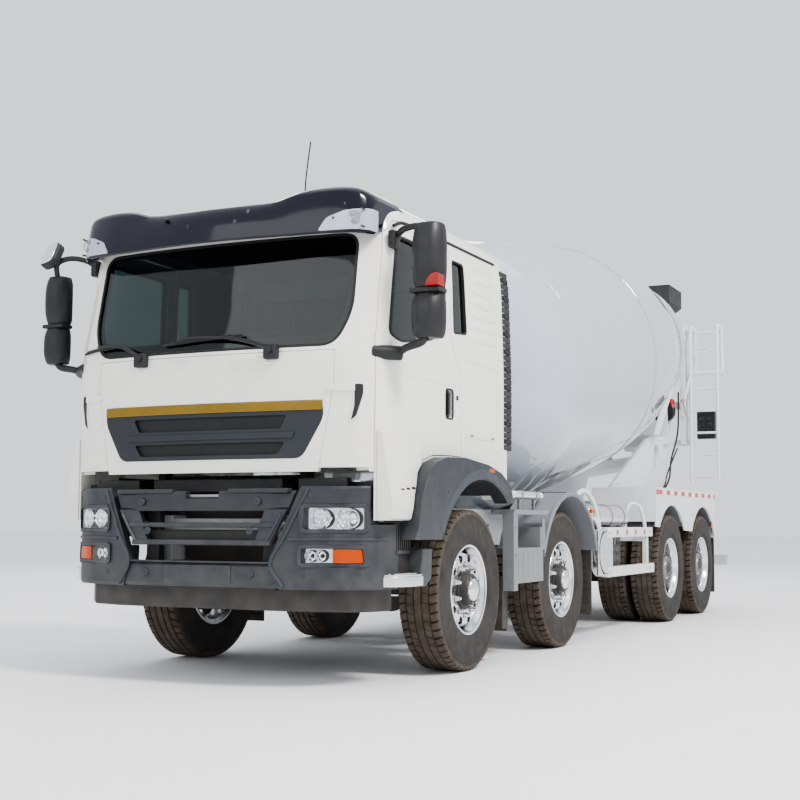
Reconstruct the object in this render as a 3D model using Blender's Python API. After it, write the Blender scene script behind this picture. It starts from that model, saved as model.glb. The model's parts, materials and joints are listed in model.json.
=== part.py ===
"""Concrete mixer truck with four axles: two steered in front, two driven twin-wheel axles behind.

Truck frame used below: +X is the truck's left side, y grows rearwards from the first axle and
z grows upwards from the ground.  Pieces are placed in the world with y measured from mid-length,
so the origin lies on the ground under the middle of the truck.  Metres throughout.
"""

from math import cos, pi, radians, sin

import bmesh
import bpy
from mathutils import Matrix, Vector

# ---- overall ----
FRONT_Y = -1.50                 # foremost face, the bumper and the visor
REAR_Y = 8.46                   # rear rim of the feed hopper
MID_Y = (FRONT_Y + REAR_Y) / 2
GAP = 0.0003                    # between pieces that touch
PIVOT_GAP = 0.0005              # between faces that turn on each other
SEAM = 0.008                    # around doors

# ---- wheels and axles ----
AXLE_1_Y = 0.0
AXLE_2_Y = 1.86
AXLE_3_Y = 4.98
AXLE_4_Y = 6.33
TYRE_RADIUS = 0.54
TYRE_WIDTH = 0.30
BEAD_RADIUS = 0.290
WHEEL_SIDES = 24
WHEEL_Z = TYRE_RADIUS * cos(pi / WHEEL_SIDES)   # the lowest facet lies flat on the ground
FRONT_WHEEL_X = 1.01
TWIN_OUTER_X = 1.085
TWIN_INNER_X = 0.745
KINGPIN_X = 0.88
FRONT_HUB_BACK = FRONT_WHEEL_X + 0.05           # inner face of the front hub
TWIN_HUB_BACK = 0.86

# ---- chassis ----
RAIL_INNER_X = 0.36
RAIL_OUTER_X = 0.43
RAIL_TOP = 1.02
RAIL_DEPTH = 0.28
RAIL_FRONT_Y = -1.25
RAIL_REAR_Y = 7.75
SUBFRAME_DEPTH = 0.07
SUBFRAME_TOP = RAIL_TOP + GAP + SUBFRAME_DEPTH
RAIL_BOTTOM = RAIL_TOP - RAIL_DEPTH
SPRING_X = (0.36, 0.44)
SPRING_HALF_LENGTH = 0.80
SPRING_EYE_TOP = 0.70
GUARD_X = 1.24                  # outer plane of fenders and side guards

# ---- drum ----
DRUM_RADIUS = 1.20
DRUM_TILT = radians(9.95)
DRUM_FRONT_Y = 1.199
DRUM_FRONT_Z = 2.044
DRUM_WALL = 0.02
DRUM_SIDES = 36
DRUM_MOUTH_S = 6.80
RING_S = 6.10
RING_RADIUS = 0.83
RING_WIDTH = 0.16
ROLLER_RADIUS = 0.125
ROLLER_ANGLE = radians(35)
ROLLER_LENGTH = 0.14
HUB_S = -0.06                   # where the drum's flange meets the gearbox

# ---- cab ----
CAB_HALF = 1.14
CAB_FRONT_Y = -1.42
CAB_REAR_Y = 0.77
CAB_WALL = 0.055
CAB_SILL_Z = 1.276
CAB_SKIRT_Z = 1.14
CAB_FLOOR_Z = 1.30
CAB_FLOOR_TOP_Z = 1.36
ROOF_Z = 3.02
GLASS_BOTTOM_Z = 2.04
GLASS_TOP_Z = 2.71
GLASS_THICK = 0.010
PANEL_THICK = 0.03
DOOR_FRONT_Y = -1.27
DOOR_REAR_Y = -0.14
DOOR_REAR_TOP_Y = -0.30
DOOR_TOP_Z = 2.81
DOOR_BOTTOM_Z = 0.99
DOOR_HINGE = (1.125, DOOR_FRONT_Y - 0.005)
HINGE_LEAF_Z = (1.50, 1.90)     # hinge leaves that reach across the seam to the corner post
DOOR_FLARE_X = 1.20
DOOR_FOOT_X = 1.08              # inner face of the door's foot, outboard of the bumper
ARCH_RADIUS = 0.73
ARCH_LINER = 0.012
FLARE_X = 1.245
TILT_PIVOT = (-1.31, 0.92)      # y and z of the cab's tilting axis
TILT_ARM_X = 0.50               # inner face of the cab's two tilting arms
DASH_HALF = 0.985               # stays clear of the inner edge of an opening door

# ---- bumper ----
BUMPER_BOTTOM = 0.567
BUMPER_TOP = 1.195
BUMPER_HALF = 1.14
BUMPER_THICK = 0.10
BUMPER_WING_TOP = 0.965         # above this the bumper stops inboard of the door's foot
BUMPER_CORNER_X = 1.06

# ---- hopper and discharge ----
HOPPER_HALF = 0.50
HOPPER_FRONT_Y = 7.84
HOPPER_TOP = 3.98
HOPPER_BOWL_LOW = 3.76
HOPPER_THROAT_HALF = 0.24
HOPPER_THROAT_Y = (7.93, 8.20)
HOPPER_THROAT_LOW = 3.38
HOPPER_THROAT_TOP = 3.50
HOPPER_WALL = 0.02
SWIVEL_Y = 8.22
BRACKET_TOP = 1.10
CHUTE_HINGE_Z = 1.60
CHUTE_SLOPE = radians(8)
CHUTE_LENGTH = 1.10
CHUTE_HALF = 0.19
CHUTE_DEPTH = 0.17
SHEET = 0.012


# ------------------------------------------------------------------ modelling helpers

def clear_scene():
    for existing in list(bpy.data.objects):
        bpy.data.objects.remove(existing, do_unlink=True)


def solid(bm):
    """Turn a closed bmesh into a scene object with its faces pointing out."""
    bmesh.ops.recalc_face_normals(bm, faces=bm.faces)
    mesh = bpy.data.meshes.new("solid")
    bm.to_mesh(mesh)
    bm.free()
    made = bpy.data.objects.new("solid", mesh)
    bpy.context.scene.collection.objects.link(made)
    return made


def box(low, high):
    bm = bmesh.new()
    bmesh.ops.create_cube(bm, size=1.0)
    for vertex in bm.verts:
        for axis in range(3):
            vertex.co[axis] = high[axis] if vertex.co[axis] > 0 else low[axis]
    return solid(bm)


def prism(outline, axis, low, high):
    """Extrude a plane outline along an axis; its points are the other two coordinates in order."""
    others = [other for other in range(3) if other != axis]
    bm = bmesh.new()
    ring = []
    for point in outline:
        place = [0.0, 0.0, 0.0]
        place[others[0]] = point[0]
        place[others[1]] = point[1]
        place[axis] = low
        ring.append(bm.verts.new(place))
    face = bm.faces.new(ring)
    grown = bmesh.ops.extrude_face_region(bm, geom=[face])
    for item in grown["geom"]:
        if isinstance(item, bmesh.types.BMVert):
            item.co[axis] = high
    bmesh.ops.triangulate(bm, faces=[f for f in bm.faces if len(f.verts) > 4])
    return solid(bm)


def turned(profile, sides, centre, axis="X"):
    """Spin a closed profile of (along, radius) points about an axis through the centre."""
    bm = bmesh.new()
    ring = []
    for along, radius in profile:
        ring.append(bm.verts.new((along, 0.0, -radius)))
    edges = []
    for index, vertex in enumerate(ring):
        following = ring[(index + 1) % len(ring)]
        edges.append(bm.edges.new((vertex, following)))
    half = pi / sides
    bmesh.ops.rotate(bm, verts=bm.verts, cent=(0, 0, 0), matrix=Matrix.Rotation(half, 3, "X"))
    bmesh.ops.spin(bm, geom=ring + edges, cent=(0, 0, 0), axis=(1, 0, 0), angle=2 * pi,
                   steps=sides, use_merge=True, use_duplicate=False)
    bmesh.ops.remove_doubles(bm, verts=bm.verts, dist=1e-5)
    bmesh.ops.dissolve_degenerate(bm, edges=bm.edges, dist=1e-6)
    loose = [edge for edge in bm.edges if not edge.link_faces]
    bmesh.ops.delete(bm, geom=loose, context="EDGES")
    turn = {"X": Matrix.Identity(3), "Y": Matrix.Rotation(pi / 2, 3, "Z"),
            "Z": Matrix.Rotation(-pi / 2, 3, "Y")}[axis]
    bmesh.ops.transform(bm, matrix=Matrix.Translation(centre) @ turn.to_4x4(), verts=bm.verts)
    return solid(bm)


def cylinder(start, end, radius, sides=12):
    """A rod between two points, with a flat facet up and down when it lies level."""
    start = Vector(start)
    along = Vector(end) - start
    bm = bmesh.new()
    bmesh.ops.create_cone(bm, cap_ends=True, segments=sides, radius1=radius, radius2=radius,
                          depth=along.length,
                          matrix=Matrix.Rotation(pi / sides, 4, "Z"))
    turn = along.to_track_quat("Z", "Y").to_matrix().to_4x4()
    place = Matrix.Translation(start + along / 2) @ turn
    bmesh.ops.transform(bm, matrix=place, verts=bm.verts)
    return solid(bm)


def loft(rings):
    """Join equal rings of points in order and cap both ends."""
    bm = bmesh.new()
    loops = []
    for ring in rings:
        loops.append([bm.verts.new(point) for point in ring])
    count = len(loops[0])
    for lower, upper in zip(loops, loops[1:]):
        for index in range(count):
            after = (index + 1) % count
            bm.faces.new((lower[index], lower[after], upper[after]))
            bm.faces.new((lower[index], upper[after], upper[index]))
    bm.faces.new(loops[0])
    bm.faces.new(loops[-1])
    bmesh.ops.triangulate(bm, faces=[f for f in bm.faces if len(f.verts) > 4])
    return solid(bm)


def pipe(points, radius, resolution=0):
    """A bent round bar along the points, with filled ends."""
    curve = bpy.data.curves.new("pipe", "CURVE")
    curve.dimensions = "3D"
    curve.bevel_depth = radius
    curve.bevel_resolution = resolution
    curve.use_fill_caps = True
    spline = curve.splines.new("POLY")
    spline.points.add(len(points) - 1)
    for point, place in zip(spline.points, points):
        point.co = (*place, 1.0)
    guide = bpy.data.objects.new("pipe", curve)
    bpy.context.scene.collection.objects.link(guide)
    graph = bpy.context.evaluated_depsgraph_get()
    mesh = bpy.data.meshes.new_from_object(guide.evaluated_get(graph))
    bpy.data.objects.remove(guide, do_unlink=True)
    bm = bmesh.new()
    bm.from_mesh(mesh)
    bmesh.ops.remove_doubles(bm, verts=bm.verts, dist=1e-5)
    return solid(bm)


def boolean(base, others, operation, solver="EXACT"):
    """Join to or cut from the base; the other solids are used up."""
    for other in others:
        modifier = base.modifiers.new("shape", "BOOLEAN")
        modifier.operation = operation
        modifier.solver = solver
        modifier.object = other
    graph = bpy.context.evaluated_depsgraph_get()
    shaped = bpy.data.meshes.new_from_object(base.evaluated_get(graph))
    base.modifiers.clear()
    base.data = shaped
    for other in others:
        bpy.data.objects.remove(other, do_unlink=True)
    bm = bmesh.new()
    bm.from_mesh(shaped)
    bmesh.ops.remove_doubles(bm, verts=bm.verts, dist=2e-6)
    bmesh.ops.dissolve_limit(bm, angle_limit=radians(0.05), verts=bm.verts, edges=bm.edges)
    bmesh.ops.triangulate(bm, faces=[f for f in bm.faces if len(f.verts) > 4])
    bm.to_mesh(shaped)
    bm.free()
    return base


def join(pieces, solver="EXACT"):
    """One solid from overlapping ones; crossing tubes need the MANIFOLD solver."""
    return boolean(pieces[0], pieces[1:], "UNION", solver)


def cut(base, cutters):
    return boolean(base, cutters, "DIFFERENCE")


def common(base, other):
    return boolean(base, [other], "INTERSECT")


def mirrored(made, side):
    """Flip a left-hand piece over to the right when side is -1."""
    if side < 0:
        made.data.transform(Matrix.Scale(-1, 4, (1, 0, 0)))
        made.data.flip_normals()
    return made


MATERIALS = {
    "white_paint": ((0.80, 0.81, 0.80), 0.30, 0.0),
    "drum_paint": ((0.78, 0.79, 0.81), 0.22, 0.0),
    "dark_plastic": ((0.045, 0.052, 0.065), 0.50, 0.0),
    "visor_plastic": ((0.012, 0.013, 0.025), 0.12, 0.0),
    "grey_plastic": ((0.20, 0.21, 0.22), 0.50, 0.0),
    "black_steel": ((0.03, 0.03, 0.03), 0.55, 0.4),
    "alloy": ((0.72, 0.73, 0.74), 0.25, 1.0),
    "tyre_rubber": ((0.075, 0.062, 0.050), 0.85, 0.0),
    "glass": ((0.10, 0.16, 0.17), 0.05, 0.0),
    "cast_metal": ((0.10, 0.10, 0.10), 0.60, 0.7),
    "seat_fabric": ((0.10, 0.10, 0.11), 0.90, 0.0),
    "rubber": ((0.03, 0.03, 0.03), 0.80, 0.0),
}


def material(name):
    found = bpy.data.materials.get(name)
    if found:
        return found
    colour, roughness, metallic = MATERIALS[name]
    made = bpy.data.materials.new(name)
    made.use_nodes = True
    shader = made.node_tree.nodes["Principled BSDF"]
    shader.inputs["Base Color"].default_value = (*colour, 1.0)
    shader.inputs["Roughness"].default_value = roughness
    shader.inputs["Metallic"].default_value = metallic
    return made


def part(name, made, finish, pivot=None, smooth=False):
    """Name a finished solid, put its origin on its pivot and set it in the world."""
    pivot = Vector(pivot or (0.0, MID_Y, 0.0))
    made.name = name
    made.data.name = name
    made.data.transform(Matrix.Translation(-pivot))
    made.location = pivot - Vector((0.0, MID_Y, 0.0))
    made.data.materials.clear()
    made.data.materials.append(material(finish))
    if smooth:
        made.data.shade_smooth()
        made.data.set_sharp_from_angle(angle=radians(35))
    return made


def drum_point(x, s, h):
    """A place given along the drum's axis (s) and above it (h), in the truck frame."""
    y = DRUM_FRONT_Y + s * cos(DRUM_TILT) - h * sin(DRUM_TILT)
    z = DRUM_FRONT_Z + s * sin(DRUM_TILT) + h * cos(DRUM_TILT)
    return (x, y, z)


def in_drum_frame(made):
    """Turn a solid drawn along the drum's axis to its tilted place."""
    move = Matrix.Translation((0.0, DRUM_FRONT_Y, DRUM_FRONT_Z))
    made.data.transform(move @ Matrix.Rotation(DRUM_TILT, 4, "X"))
    return made


def circle_points(centre, radius, start, end, steps):
    """Points of an arc, from the start angle to the end angle, both in degrees."""
    points = []
    for step in range(steps + 1):
        angle = radians(start + (end - start) * step / steps)
        points.append((centre[0] + radius * cos(angle), centre[1] + radius * sin(angle)))
    return points


# ------------------------------------------------------------------ wheels

def tyre_profile(offset):
    half = TYRE_WIDTH / 2
    bead = BEAD_RADIUS + PIVOT_GAP
    outer = [(half - 0.035, bead), (half - 0.005, bead + 0.04), (half, TYRE_RADIUS - 0.05),
             (half - 0.025, TYRE_RADIUS - 0.008), (half - 0.06, TYRE_RADIUS)]
    inner = [(-along, radius) for along, radius in reversed(outer)]
    return [(offset + along, radius) for along, radius in outer + inner]


def front_wheel(number, side_name, side, axle_y):
    tyre = turned(tyre_profile(FRONT_WHEEL_X), WHEEL_SIDES, (0, axle_y, WHEEL_Z))
    centre = (side * FRONT_WHEEL_X, axle_y, WHEEL_Z)
    part(f"tyre_{number}_{side_name}", mirrored(tyre, side), "tyre_rubber", centre, True)
    back = FRONT_HUB_BACK
    face = FRONT_WHEEL_X + 0.115
    lip = FRONT_WHEEL_X + 0.125
    profile = [(back, 0.0), (back, 0.255), (FRONT_WHEEL_X - 0.125, 0.268),
               (FRONT_WHEEL_X - 0.125, BEAD_RADIUS), (lip, BEAD_RADIUS), (lip, 0.272),
               (face - 0.03, 0.262), (face, 0.17), (face, 0.09), (face + 0.035, 0.075),
               (face + 0.035, 0.0)]
    rim = turned(profile, WHEEL_SIDES, (0, axle_y, WHEEL_Z))
    part(f"rim_{number}_{side_name}", mirrored(rim, side), "alloy", centre, True)


def twin_wheel(number, side_name, side, axle_y):
    """Two tyres on two rims bolted back to back on one hub, as one turning solid."""
    half = TYRE_WIDTH / 2
    shoulder = TYRE_RADIUS - 0.04
    inner_in = TWIN_INNER_X - half
    inner_out = TWIN_INNER_X + half
    outer_in = TWIN_OUTER_X - half
    outer_out = TWIN_OUTER_X + half
    profile = [(TWIN_HUB_BACK, 0.0), (TWIN_HUB_BACK, 0.18), (0.90, 0.25),
               (inner_in + 0.02, 0.27), (inner_in + 0.005, 0.31),
               (inner_in, shoulder), (inner_in + 0.045, TYRE_RADIUS),
               (inner_out - 0.045, TYRE_RADIUS), (inner_out, shoulder),
               (inner_out - 0.005, 0.30), (outer_in + 0.005, 0.30), (outer_in, shoulder),
               (outer_in + 0.045, TYRE_RADIUS), (outer_out - 0.045, TYRE_RADIUS),
               (outer_out, shoulder), (outer_out - 0.008, 0.31), (outer_out - 0.03, 0.275),
               (0.965, 0.25), (0.95, 0.16), (1.12, 0.14), (1.13, 0.0)]
    wheel = turned(profile, WHEEL_SIDES, (0, axle_y, WHEEL_Z))
    centre = (side * TWIN_OUTER_X, axle_y, WHEEL_Z)
    part(f"twin_wheel_{number}_{side_name}", mirrored(wheel, side), "tyre_rubber", centre, True)


def knuckle(number, side_name, side, axle_y):
    """Steering knuckle: two kingpin ears, a web, the brake drum and the spindle."""
    lower = cylinder((KINGPIN_X, axle_y, WHEEL_Z - 0.10), (KINGPIN_X, axle_y, WHEEL_Z - 0.06), 0.05)
    upper = cylinder((KINGPIN_X, axle_y, WHEEL_Z + 0.06), (KINGPIN_X, axle_y, WHEEL_Z + 0.10), 0.05)
    web = box((KINGPIN_X, axle_y - 0.035, WHEEL_Z + 0.062),
              (0.96, axle_y + 0.035, WHEEL_Z + 0.098))
    foot = box((KINGPIN_X, axle_y - 0.035, WHEEL_Z - 0.098),
               (0.96, axle_y + 0.035, WHEEL_Z - 0.062))
    drum = cylinder((0.94, axle_y, WHEEL_Z), (1.02, axle_y, WHEEL_Z), 0.20, 14)
    spindle = cylinder((1.0, axle_y, WHEEL_Z), (FRONT_HUB_BACK - PIVOT_GAP, axle_y, WHEEL_Z), 0.06)
    made = join([drum, lower, upper, web, foot, spindle])
    pivot = (side * KINGPIN_X, axle_y, WHEEL_Z)
    part(f"knuckle_{number}_{side_name}", mirrored(made, side), "cast_metal", pivot)


def spring_outline(axle_y, seat_z):
    half = SPRING_HALF_LENGTH
    top = SPRING_EYE_TOP - GAP
    return [(axle_y - half, top - 0.035), (axle_y - 0.35, seat_z + 0.03), (axle_y - 0.1, seat_z),
            (axle_y + 0.1, seat_z), (axle_y + 0.35, seat_z + 0.03), (axle_y + half, top - 0.035),
            (axle_y + half, top), (axle_y + half - 0.10, top), (axle_y + 0.4, top - 0.04),
            (axle_y + 0.1, seat_z + 0.09), (axle_y - 0.1, seat_z + 0.09),
            (axle_y - 0.4, top - 0.04), (axle_y - half + 0.10, top), (axle_y - half, top)]


def steered_axle(number, axle_y):
    """Dropped forged beam with an eye between the knuckle's ears, and its two leaf springs."""
    eye = WHEEL_Z
    drop = WHEEL_Z - 0.16
    outline = [(KINGPIN_X - 0.02, eye - 0.055), (KINGPIN_X - 0.02, eye + 0.055),
               (0.78, eye + 0.045), (0.62, drop + 0.10), (-0.62, drop + 0.10),
               (-0.78, eye + 0.045), (0.02 - KINGPIN_X, eye + 0.055),
               (0.02 - KINGPIN_X, eye - 0.055), (-0.76, eye - 0.055), (-0.58, drop),
               (0.58, drop), (0.76, eye - 0.055)]
    pieces = [prism(outline, 1, axle_y - 0.045, axle_y + 0.045)]
    for side in (1, -1):
        x = side * KINGPIN_X
        low = WHEEL_Z - 0.06 + PIVOT_GAP
        high = WHEEL_Z + 0.06 - PIVOT_GAP
        pieces.append(cylinder((x, axle_y, low), (x, axle_y, high), 0.046))
        ends = sorted((side * SPRING_X[0], side * SPRING_X[1]))
        pieces.append(prism(spring_outline(axle_y, drop + 0.08), 0, ends[0], ends[1]))
    part(f"axle_{number}", join(pieces), "cast_metal")


def drive_axle(number, axle_y, with_link):
    """Driven axle: tube, central gear housing, spring pads, brake drums and hub spindles."""
    tube = cylinder((-0.80, axle_y, WHEEL_Z), (0.80, axle_y, WHEEL_Z), 0.09)
    housing = turned([(-0.16, 0.0), (-0.16, 0.14), (-0.09, 0.22), (0.09, 0.22), (0.16, 0.14),
                      (0.16, 0.0)], 12, (0, axle_y, WHEEL_Z), "Y")
    pieces = [tube, housing]
    nose = cylinder((0, axle_y - 0.30, WHEEL_Z + 0.06), (0, axle_y, WHEEL_Z + 0.06), 0.10)
    pieces.append(nose)
    if with_link:
        link_start = (0, AXLE_3_Y + 0.30 + GAP, WHEEL_Z + 0.06)
        pieces.append(cylinder(link_start, (0, axle_y - 0.2, WHEEL_Z + 0.06), 0.045, 12))
    else:
        pieces.append(cylinder((0, axle_y, WHEEL_Z + 0.06), (0, axle_y + 0.30, WHEEL_Z + 0.06), 0.06))
    for side in (1, -1):
        drum = sorted((side * 0.60, side * 0.80))
        pieces.append(cylinder((drum[0], axle_y, WHEEL_Z), (drum[1], axle_y, WHEEL_Z), 0.21, 14))
        tip = side * (TWIN_HUB_BACK - PIVOT_GAP)
        pieces.append(cylinder((side * 0.70, axle_y, WHEEL_Z), (tip, axle_y, WHEEL_Z), 0.07))
        pad = sorted((side * SPRING_X[0], side * SPRING_X[1]))
        pieces.append(box((pad[0], axle_y - 0.08, WHEEL_Z),
                          (pad[1], axle_y + 0.08, WHEEL_Z + 0.10)))
    part(f"axle_{number}", join(pieces), "cast_metal")


# ------------------------------------------------------------------ chassis

def chassis_frame():
    """Ladder frame with crossmembers, spring hangers, rear bogie springs and underrun beam."""
    pieces = []
    for side in (1, -1):
        rail = sorted((side * RAIL_INNER_X, side * RAIL_OUTER_X))
        pieces.append(box((rail[0], RAIL_FRONT_Y, RAIL_BOTTOM), (rail[1], RAIL_REAR_Y, RAIL_TOP)))
        hang = sorted((side * SPRING_X[0], side * SPRING_X[1]))
        for axle_y in (AXLE_1_Y, AXLE_2_Y):
            for end in (-1, 1):
                y = axle_y + end * (SPRING_HALF_LENGTH - 0.05)
                pieces.append(box((hang[0], y - 0.04, SPRING_EYE_TOP),
                                  (hang[1], y + 0.04, RAIL_BOTTOM + 0.02)))
        pad = WHEEL_Z + 0.10 + GAP
        middle = (AXLE_3_Y + AXLE_4_Y) / 2
        bogie = [(AXLE_3_Y - 0.12, pad), (AXLE_3_Y + 0.12, pad), (middle - 0.25, 0.52),
                 (middle + 0.25, 0.52), (AXLE_4_Y - 0.12, pad), (AXLE_4_Y + 0.12, pad),
                 (AXLE_4_Y + 0.12, pad + 0.04), (middle + 0.15, RAIL_BOTTOM + 0.03),
                 (middle - 0.15, RAIL_BOTTOM + 0.03), (AXLE_3_Y - 0.12, pad + 0.04)]
        pieces.append(prism(bogie, 0, hang[0], hang[1]))
        pieces.append(box((rail[0], 0.60, RAIL_TOP - 0.02), (rail[1], 0.68, CAB_FLOOR_Z - GAP)))
        near, far = sorted((side * (RAIL_OUTER_X - 0.009), side * (TILT_ARM_X - PIVOT_GAP)))
        pieces.append(box((near, TILT_PIVOT[0] - 0.035, TILT_PIVOT[1] - 0.06),
                          (far, RAIL_FRONT_Y + 0.05, TILT_PIVOT[1] + 0.06)))
        pieces.append(box((rail[0], RAIL_REAR_Y - 0.05, 0.55),
                          (rail[1], RAIL_REAR_Y + 0.02, RAIL_BOTTOM + 0.1)))
    for y in (-1.20, 1.32, 2.62, 3.60, 4.50, 5.655, 6.85, 7.66):
        pieces.append(box((-0.37, y - 0.04, RAIL_TOP - 0.155), (0.37, y + 0.04, RAIL_TOP - 0.02)))
    pieces.append(box((-1.20, RAIL_REAR_Y - 0.02, 0.49), (1.20, RAIL_REAR_Y + 0.06, 0.61)))
    pieces.append(box((-0.12, 7.60, 0.88), (0.12, SWIVEL_Y + 0.12, BRACKET_TOP)))
    part("chassis_frame", join(pieces), "white_paint")


def engine():
    """Engine, gearbox, fan shroud and radiator as plain masses at their real places."""
    block = box((-0.30, -0.80, 0.64), (0.30, 0.40, 1.26))
    sump = box((-0.22, -0.75, 0.58), (0.22, -0.20, 0.66))
    shroud = box((-0.33, -1.00, 0.66), (0.33, -0.78, 1.24))
    lower_core = box((-0.345, -1.12, 0.60), (0.345, -0.98, 1.27))
    upper_core = box((-0.48, -1.12, RAIL_TOP + 0.02), (0.48, -0.98, 1.27))
    bell = turned([(0.38, 0.0), (0.38, 0.26), (0.60, 0.24), (0.70, 0.19), (1.10, 0.17),
                   (1.16, 0.08), (1.16, 0.0)], 12, (0, 0, 0.80), "Y")
    mounts = []
    for y in (-0.55, 0.15):
        mounts.append(box((-RAIL_INNER_X + GAP, y - 0.05, 0.80), (RAIL_INNER_X - GAP, y + 0.05, 0.90)))
    part("engine", join([block, sump, shroud, lower_core, upper_core, bell] + mounts), "cast_metal")


def propshaft():
    start_z = 0.80
    end_z = WHEEL_Z + 0.06
    end_y = AXLE_3_Y - 0.30 - GAP
    route = [(0, 1.16 + GAP, start_z), (0, 1.30, start_z), (0, end_y - 0.2, end_z), (0, end_y, end_z)]
    part("propshaft", pipe(route, 0.045, 2), "black_steel")


def bumper_ring(z, setback):
    """Plan outline of the bumper at one height, mirrored about the middle."""
    half = [(0.0, FRONT_Y), (0.46, FRONT_Y), (0.70, FRONT_Y + 0.06), (0.92, FRONT_Y + 0.12),
            (1.06, FRONT_Y + 0.21), (BUMPER_HALF, FRONT_Y + 0.42)]
    inner = [(BUMPER_HALF - 0.06, FRONT_Y + 0.42), (0.98, FRONT_Y + 0.30),
             (0.70, FRONT_Y + 0.06 + BUMPER_THICK), (0.46, FRONT_Y + BUMPER_THICK),
             (0.0, FRONT_Y + BUMPER_THICK)]
    right = [(-x, y) for x, y in half[1:]]
    inner_left = inner[:-1]
    inner_right = [(-x, y) for x, y in reversed(inner_left)]
    outline = list(reversed(right)) + half + inner_left + [inner[-1]] + inner_right
    return [(x, y + setback, z) for x, y in outline]


def front_bumper():
    """Wrap-round bumper with grille slots and lamp pockets, the lower valance and the side steps."""
    shell = loft([bumper_ring(BUMPER_BOTTOM, 0.05), bumper_ring(0.72, 0.0),
                  bumper_ring(BUMPER_TOP, 0.0)])
    cutters = [box((-0.42, FRONT_Y - 0.1, 0.874), (0.42, FRONT_Y + 0.2, 1.05)),
               box((-0.44, FRONT_Y - 0.1, 0.735), (0.44, FRONT_Y + 0.2, 0.83))]
    for side in (1, -1):
        wing = sorted((side * BUMPER_CORNER_X, side * 1.3))
        cutters.append(box((wing[0], FRONT_Y - 0.1, BUMPER_WING_TOP), (wing[1], -0.9, 1.3)))
        head = sorted((side * 0.73, side * 1.03))
        cutters.append(box((head[0], FRONT_Y - 0.05, 0.944), (head[1], FRONT_Y + 0.125, 1.057)))
        fog = sorted((side * 0.72, side * 1.03))
        cutters.append(box((fog[0], FRONT_Y - 0.05, 0.744), (fog[1], FRONT_Y + 0.125, 0.82)))
    shell = cut(shell, cutters)
    pieces = [shell]
    valance = [(-1.08, -1.02), (-1.00, -1.24), (-0.70, -1.36), (0.70, -1.36), (1.00, -1.24),
               (1.08, -1.02), (1.02, -1.02), (0.95, -1.18), (0.68, -1.28), (-0.68, -1.28),
               (-0.95, -1.18), (-1.02, -1.02)]
    pieces.append(prism(valance, 2, 0.45, 0.62))
    arms = box((-0.41, FRONT_Y + BUMPER_THICK - 0.03, RAIL_BOTTOM + 0.1),
               (0.41, RAIL_FRONT_Y - GAP, RAIL_TOP - 0.05))
    pieces.append(arms)
    pieces.append(box((-0.50, FRONT_Y + 0.08, 0.575), (0.50, -1.30, 0.66)))
    for side in (1, -1):
        tread = sorted((side * 0.98, side * GUARD_X))
        pieces.append(box((tread[0], -1.38, 0.60), (tread[1], -0.90, 0.66)))
        toe = [(-0.99, 0.592), (-0.83, 0.592), (-0.755, 0.66), (-0.755, 0.825), (-0.99, 0.825)]
        pieces.append(prism(toe, 0, tread[0], tread[1]))
        ends = sorted((side * 0.98, side * 1.10))
        pieces.append(box((ends[0], -1.28, 0.58), (ends[1], -0.90, 0.825)))
    part("front_bumper", join(pieces), "dark_plastic")


def second_mudguard(side_name, side):
    """Guard over the second wheel with the tool box between the wheels and both mudflaps."""
    low_x = 0.86
    radius = 0.66
    centre = (AXLE_2_Y, WHEEL_Z)
    inner = circle_points(centre, radius, 19, 161, 12)
    outer = circle_points(centre, radius + 0.028, 161, 19, 12)
    shell = prism(inner + outer, 0, low_x, GUARD_X - 0.005)
    front = AXLE_2_Y - radius - 0.02
    tool_box = box((0.95, 0.64, 0.55), (GUARD_X - 0.005, front, 0.80))
    riser = box((0.98, front - 0.06, 0.78), (GUARD_X - 0.005, front + 0.05, 0.95))
    strip = box((1.15, 0.578, 0.50), (GUARD_X - 0.005, 0.66, 1.06))
    shelf = box((1.05, 0.60, 1.04), (GUARD_X - 0.005, 1.30, 1.075))
    first_flap = box((0.88, 0.645, 0.22), (1.15, 0.66, 0.60))
    rear = AXLE_2_Y + radius + 0.014
    rear_flap = box((0.88, rear - 0.05, 0.22), (1.18, rear - 0.035, 0.80))
    arm = box((RAIL_OUTER_X + GAP, 0.86, 0.76), (1.0, 0.92, 0.82))
    made = join([shell, tool_box, riser, strip, shelf, first_flap, rear_flap, arm])
    part(f"mudguard_2_{side_name}", mirrored(made, side), "grey_plastic")


def side_tanks():
    """Air tank over the battery box on the left, and the fuel tank on the right."""
    case = box((0.62, 2.78, 0.58), (1.15, 3.46, 0.88))
    hanger = box((RAIL_OUTER_X + GAP, 3.00, 0.78), (0.66, 3.30, 0.86))
    saddles = [box((0.95, 2.95, 0.86), (1.11, 3.00, 0.93)), box((0.95, 3.26, 0.86), (1.11, 3.31, 0.93))]
    part("battery_box", join([case, hanger] + saddles), "black_steel")
    radius = 0.11
    flat = radius * cos(pi / 20)
    tank = cylinder((1.03, 2.68, 0.93 + GAP + flat), (1.03, 3.80, 0.93 + GAP + flat), radius, 20)
    part("air_tank", tank, "alloy", smooth=True)
    corner = 0.10
    low = (0.60, 0.56)
    high = (1.17, 1.10)
    outline = []
    for centre, start in (((high[0] - corner, high[1] - corner), 0),
                          ((low[0] + corner, high[1] - corner), 90),
                          ((low[0] + corner, low[1] + corner), 180),
                          ((high[0] - corner, low[1] + corner), 270)):
        outline += circle_points(centre, corner, start, start + 90, 3)
    body = prism(outline, 1, 2.70, 3.90)
    bracket = box((RAIL_OUTER_X + GAP, 2.95, 0.80), (0.62, 3.65, 0.90))
    made = join([body, bracket])
    part("fuel_tank", mirrored(made, -1), "alloy")


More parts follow.
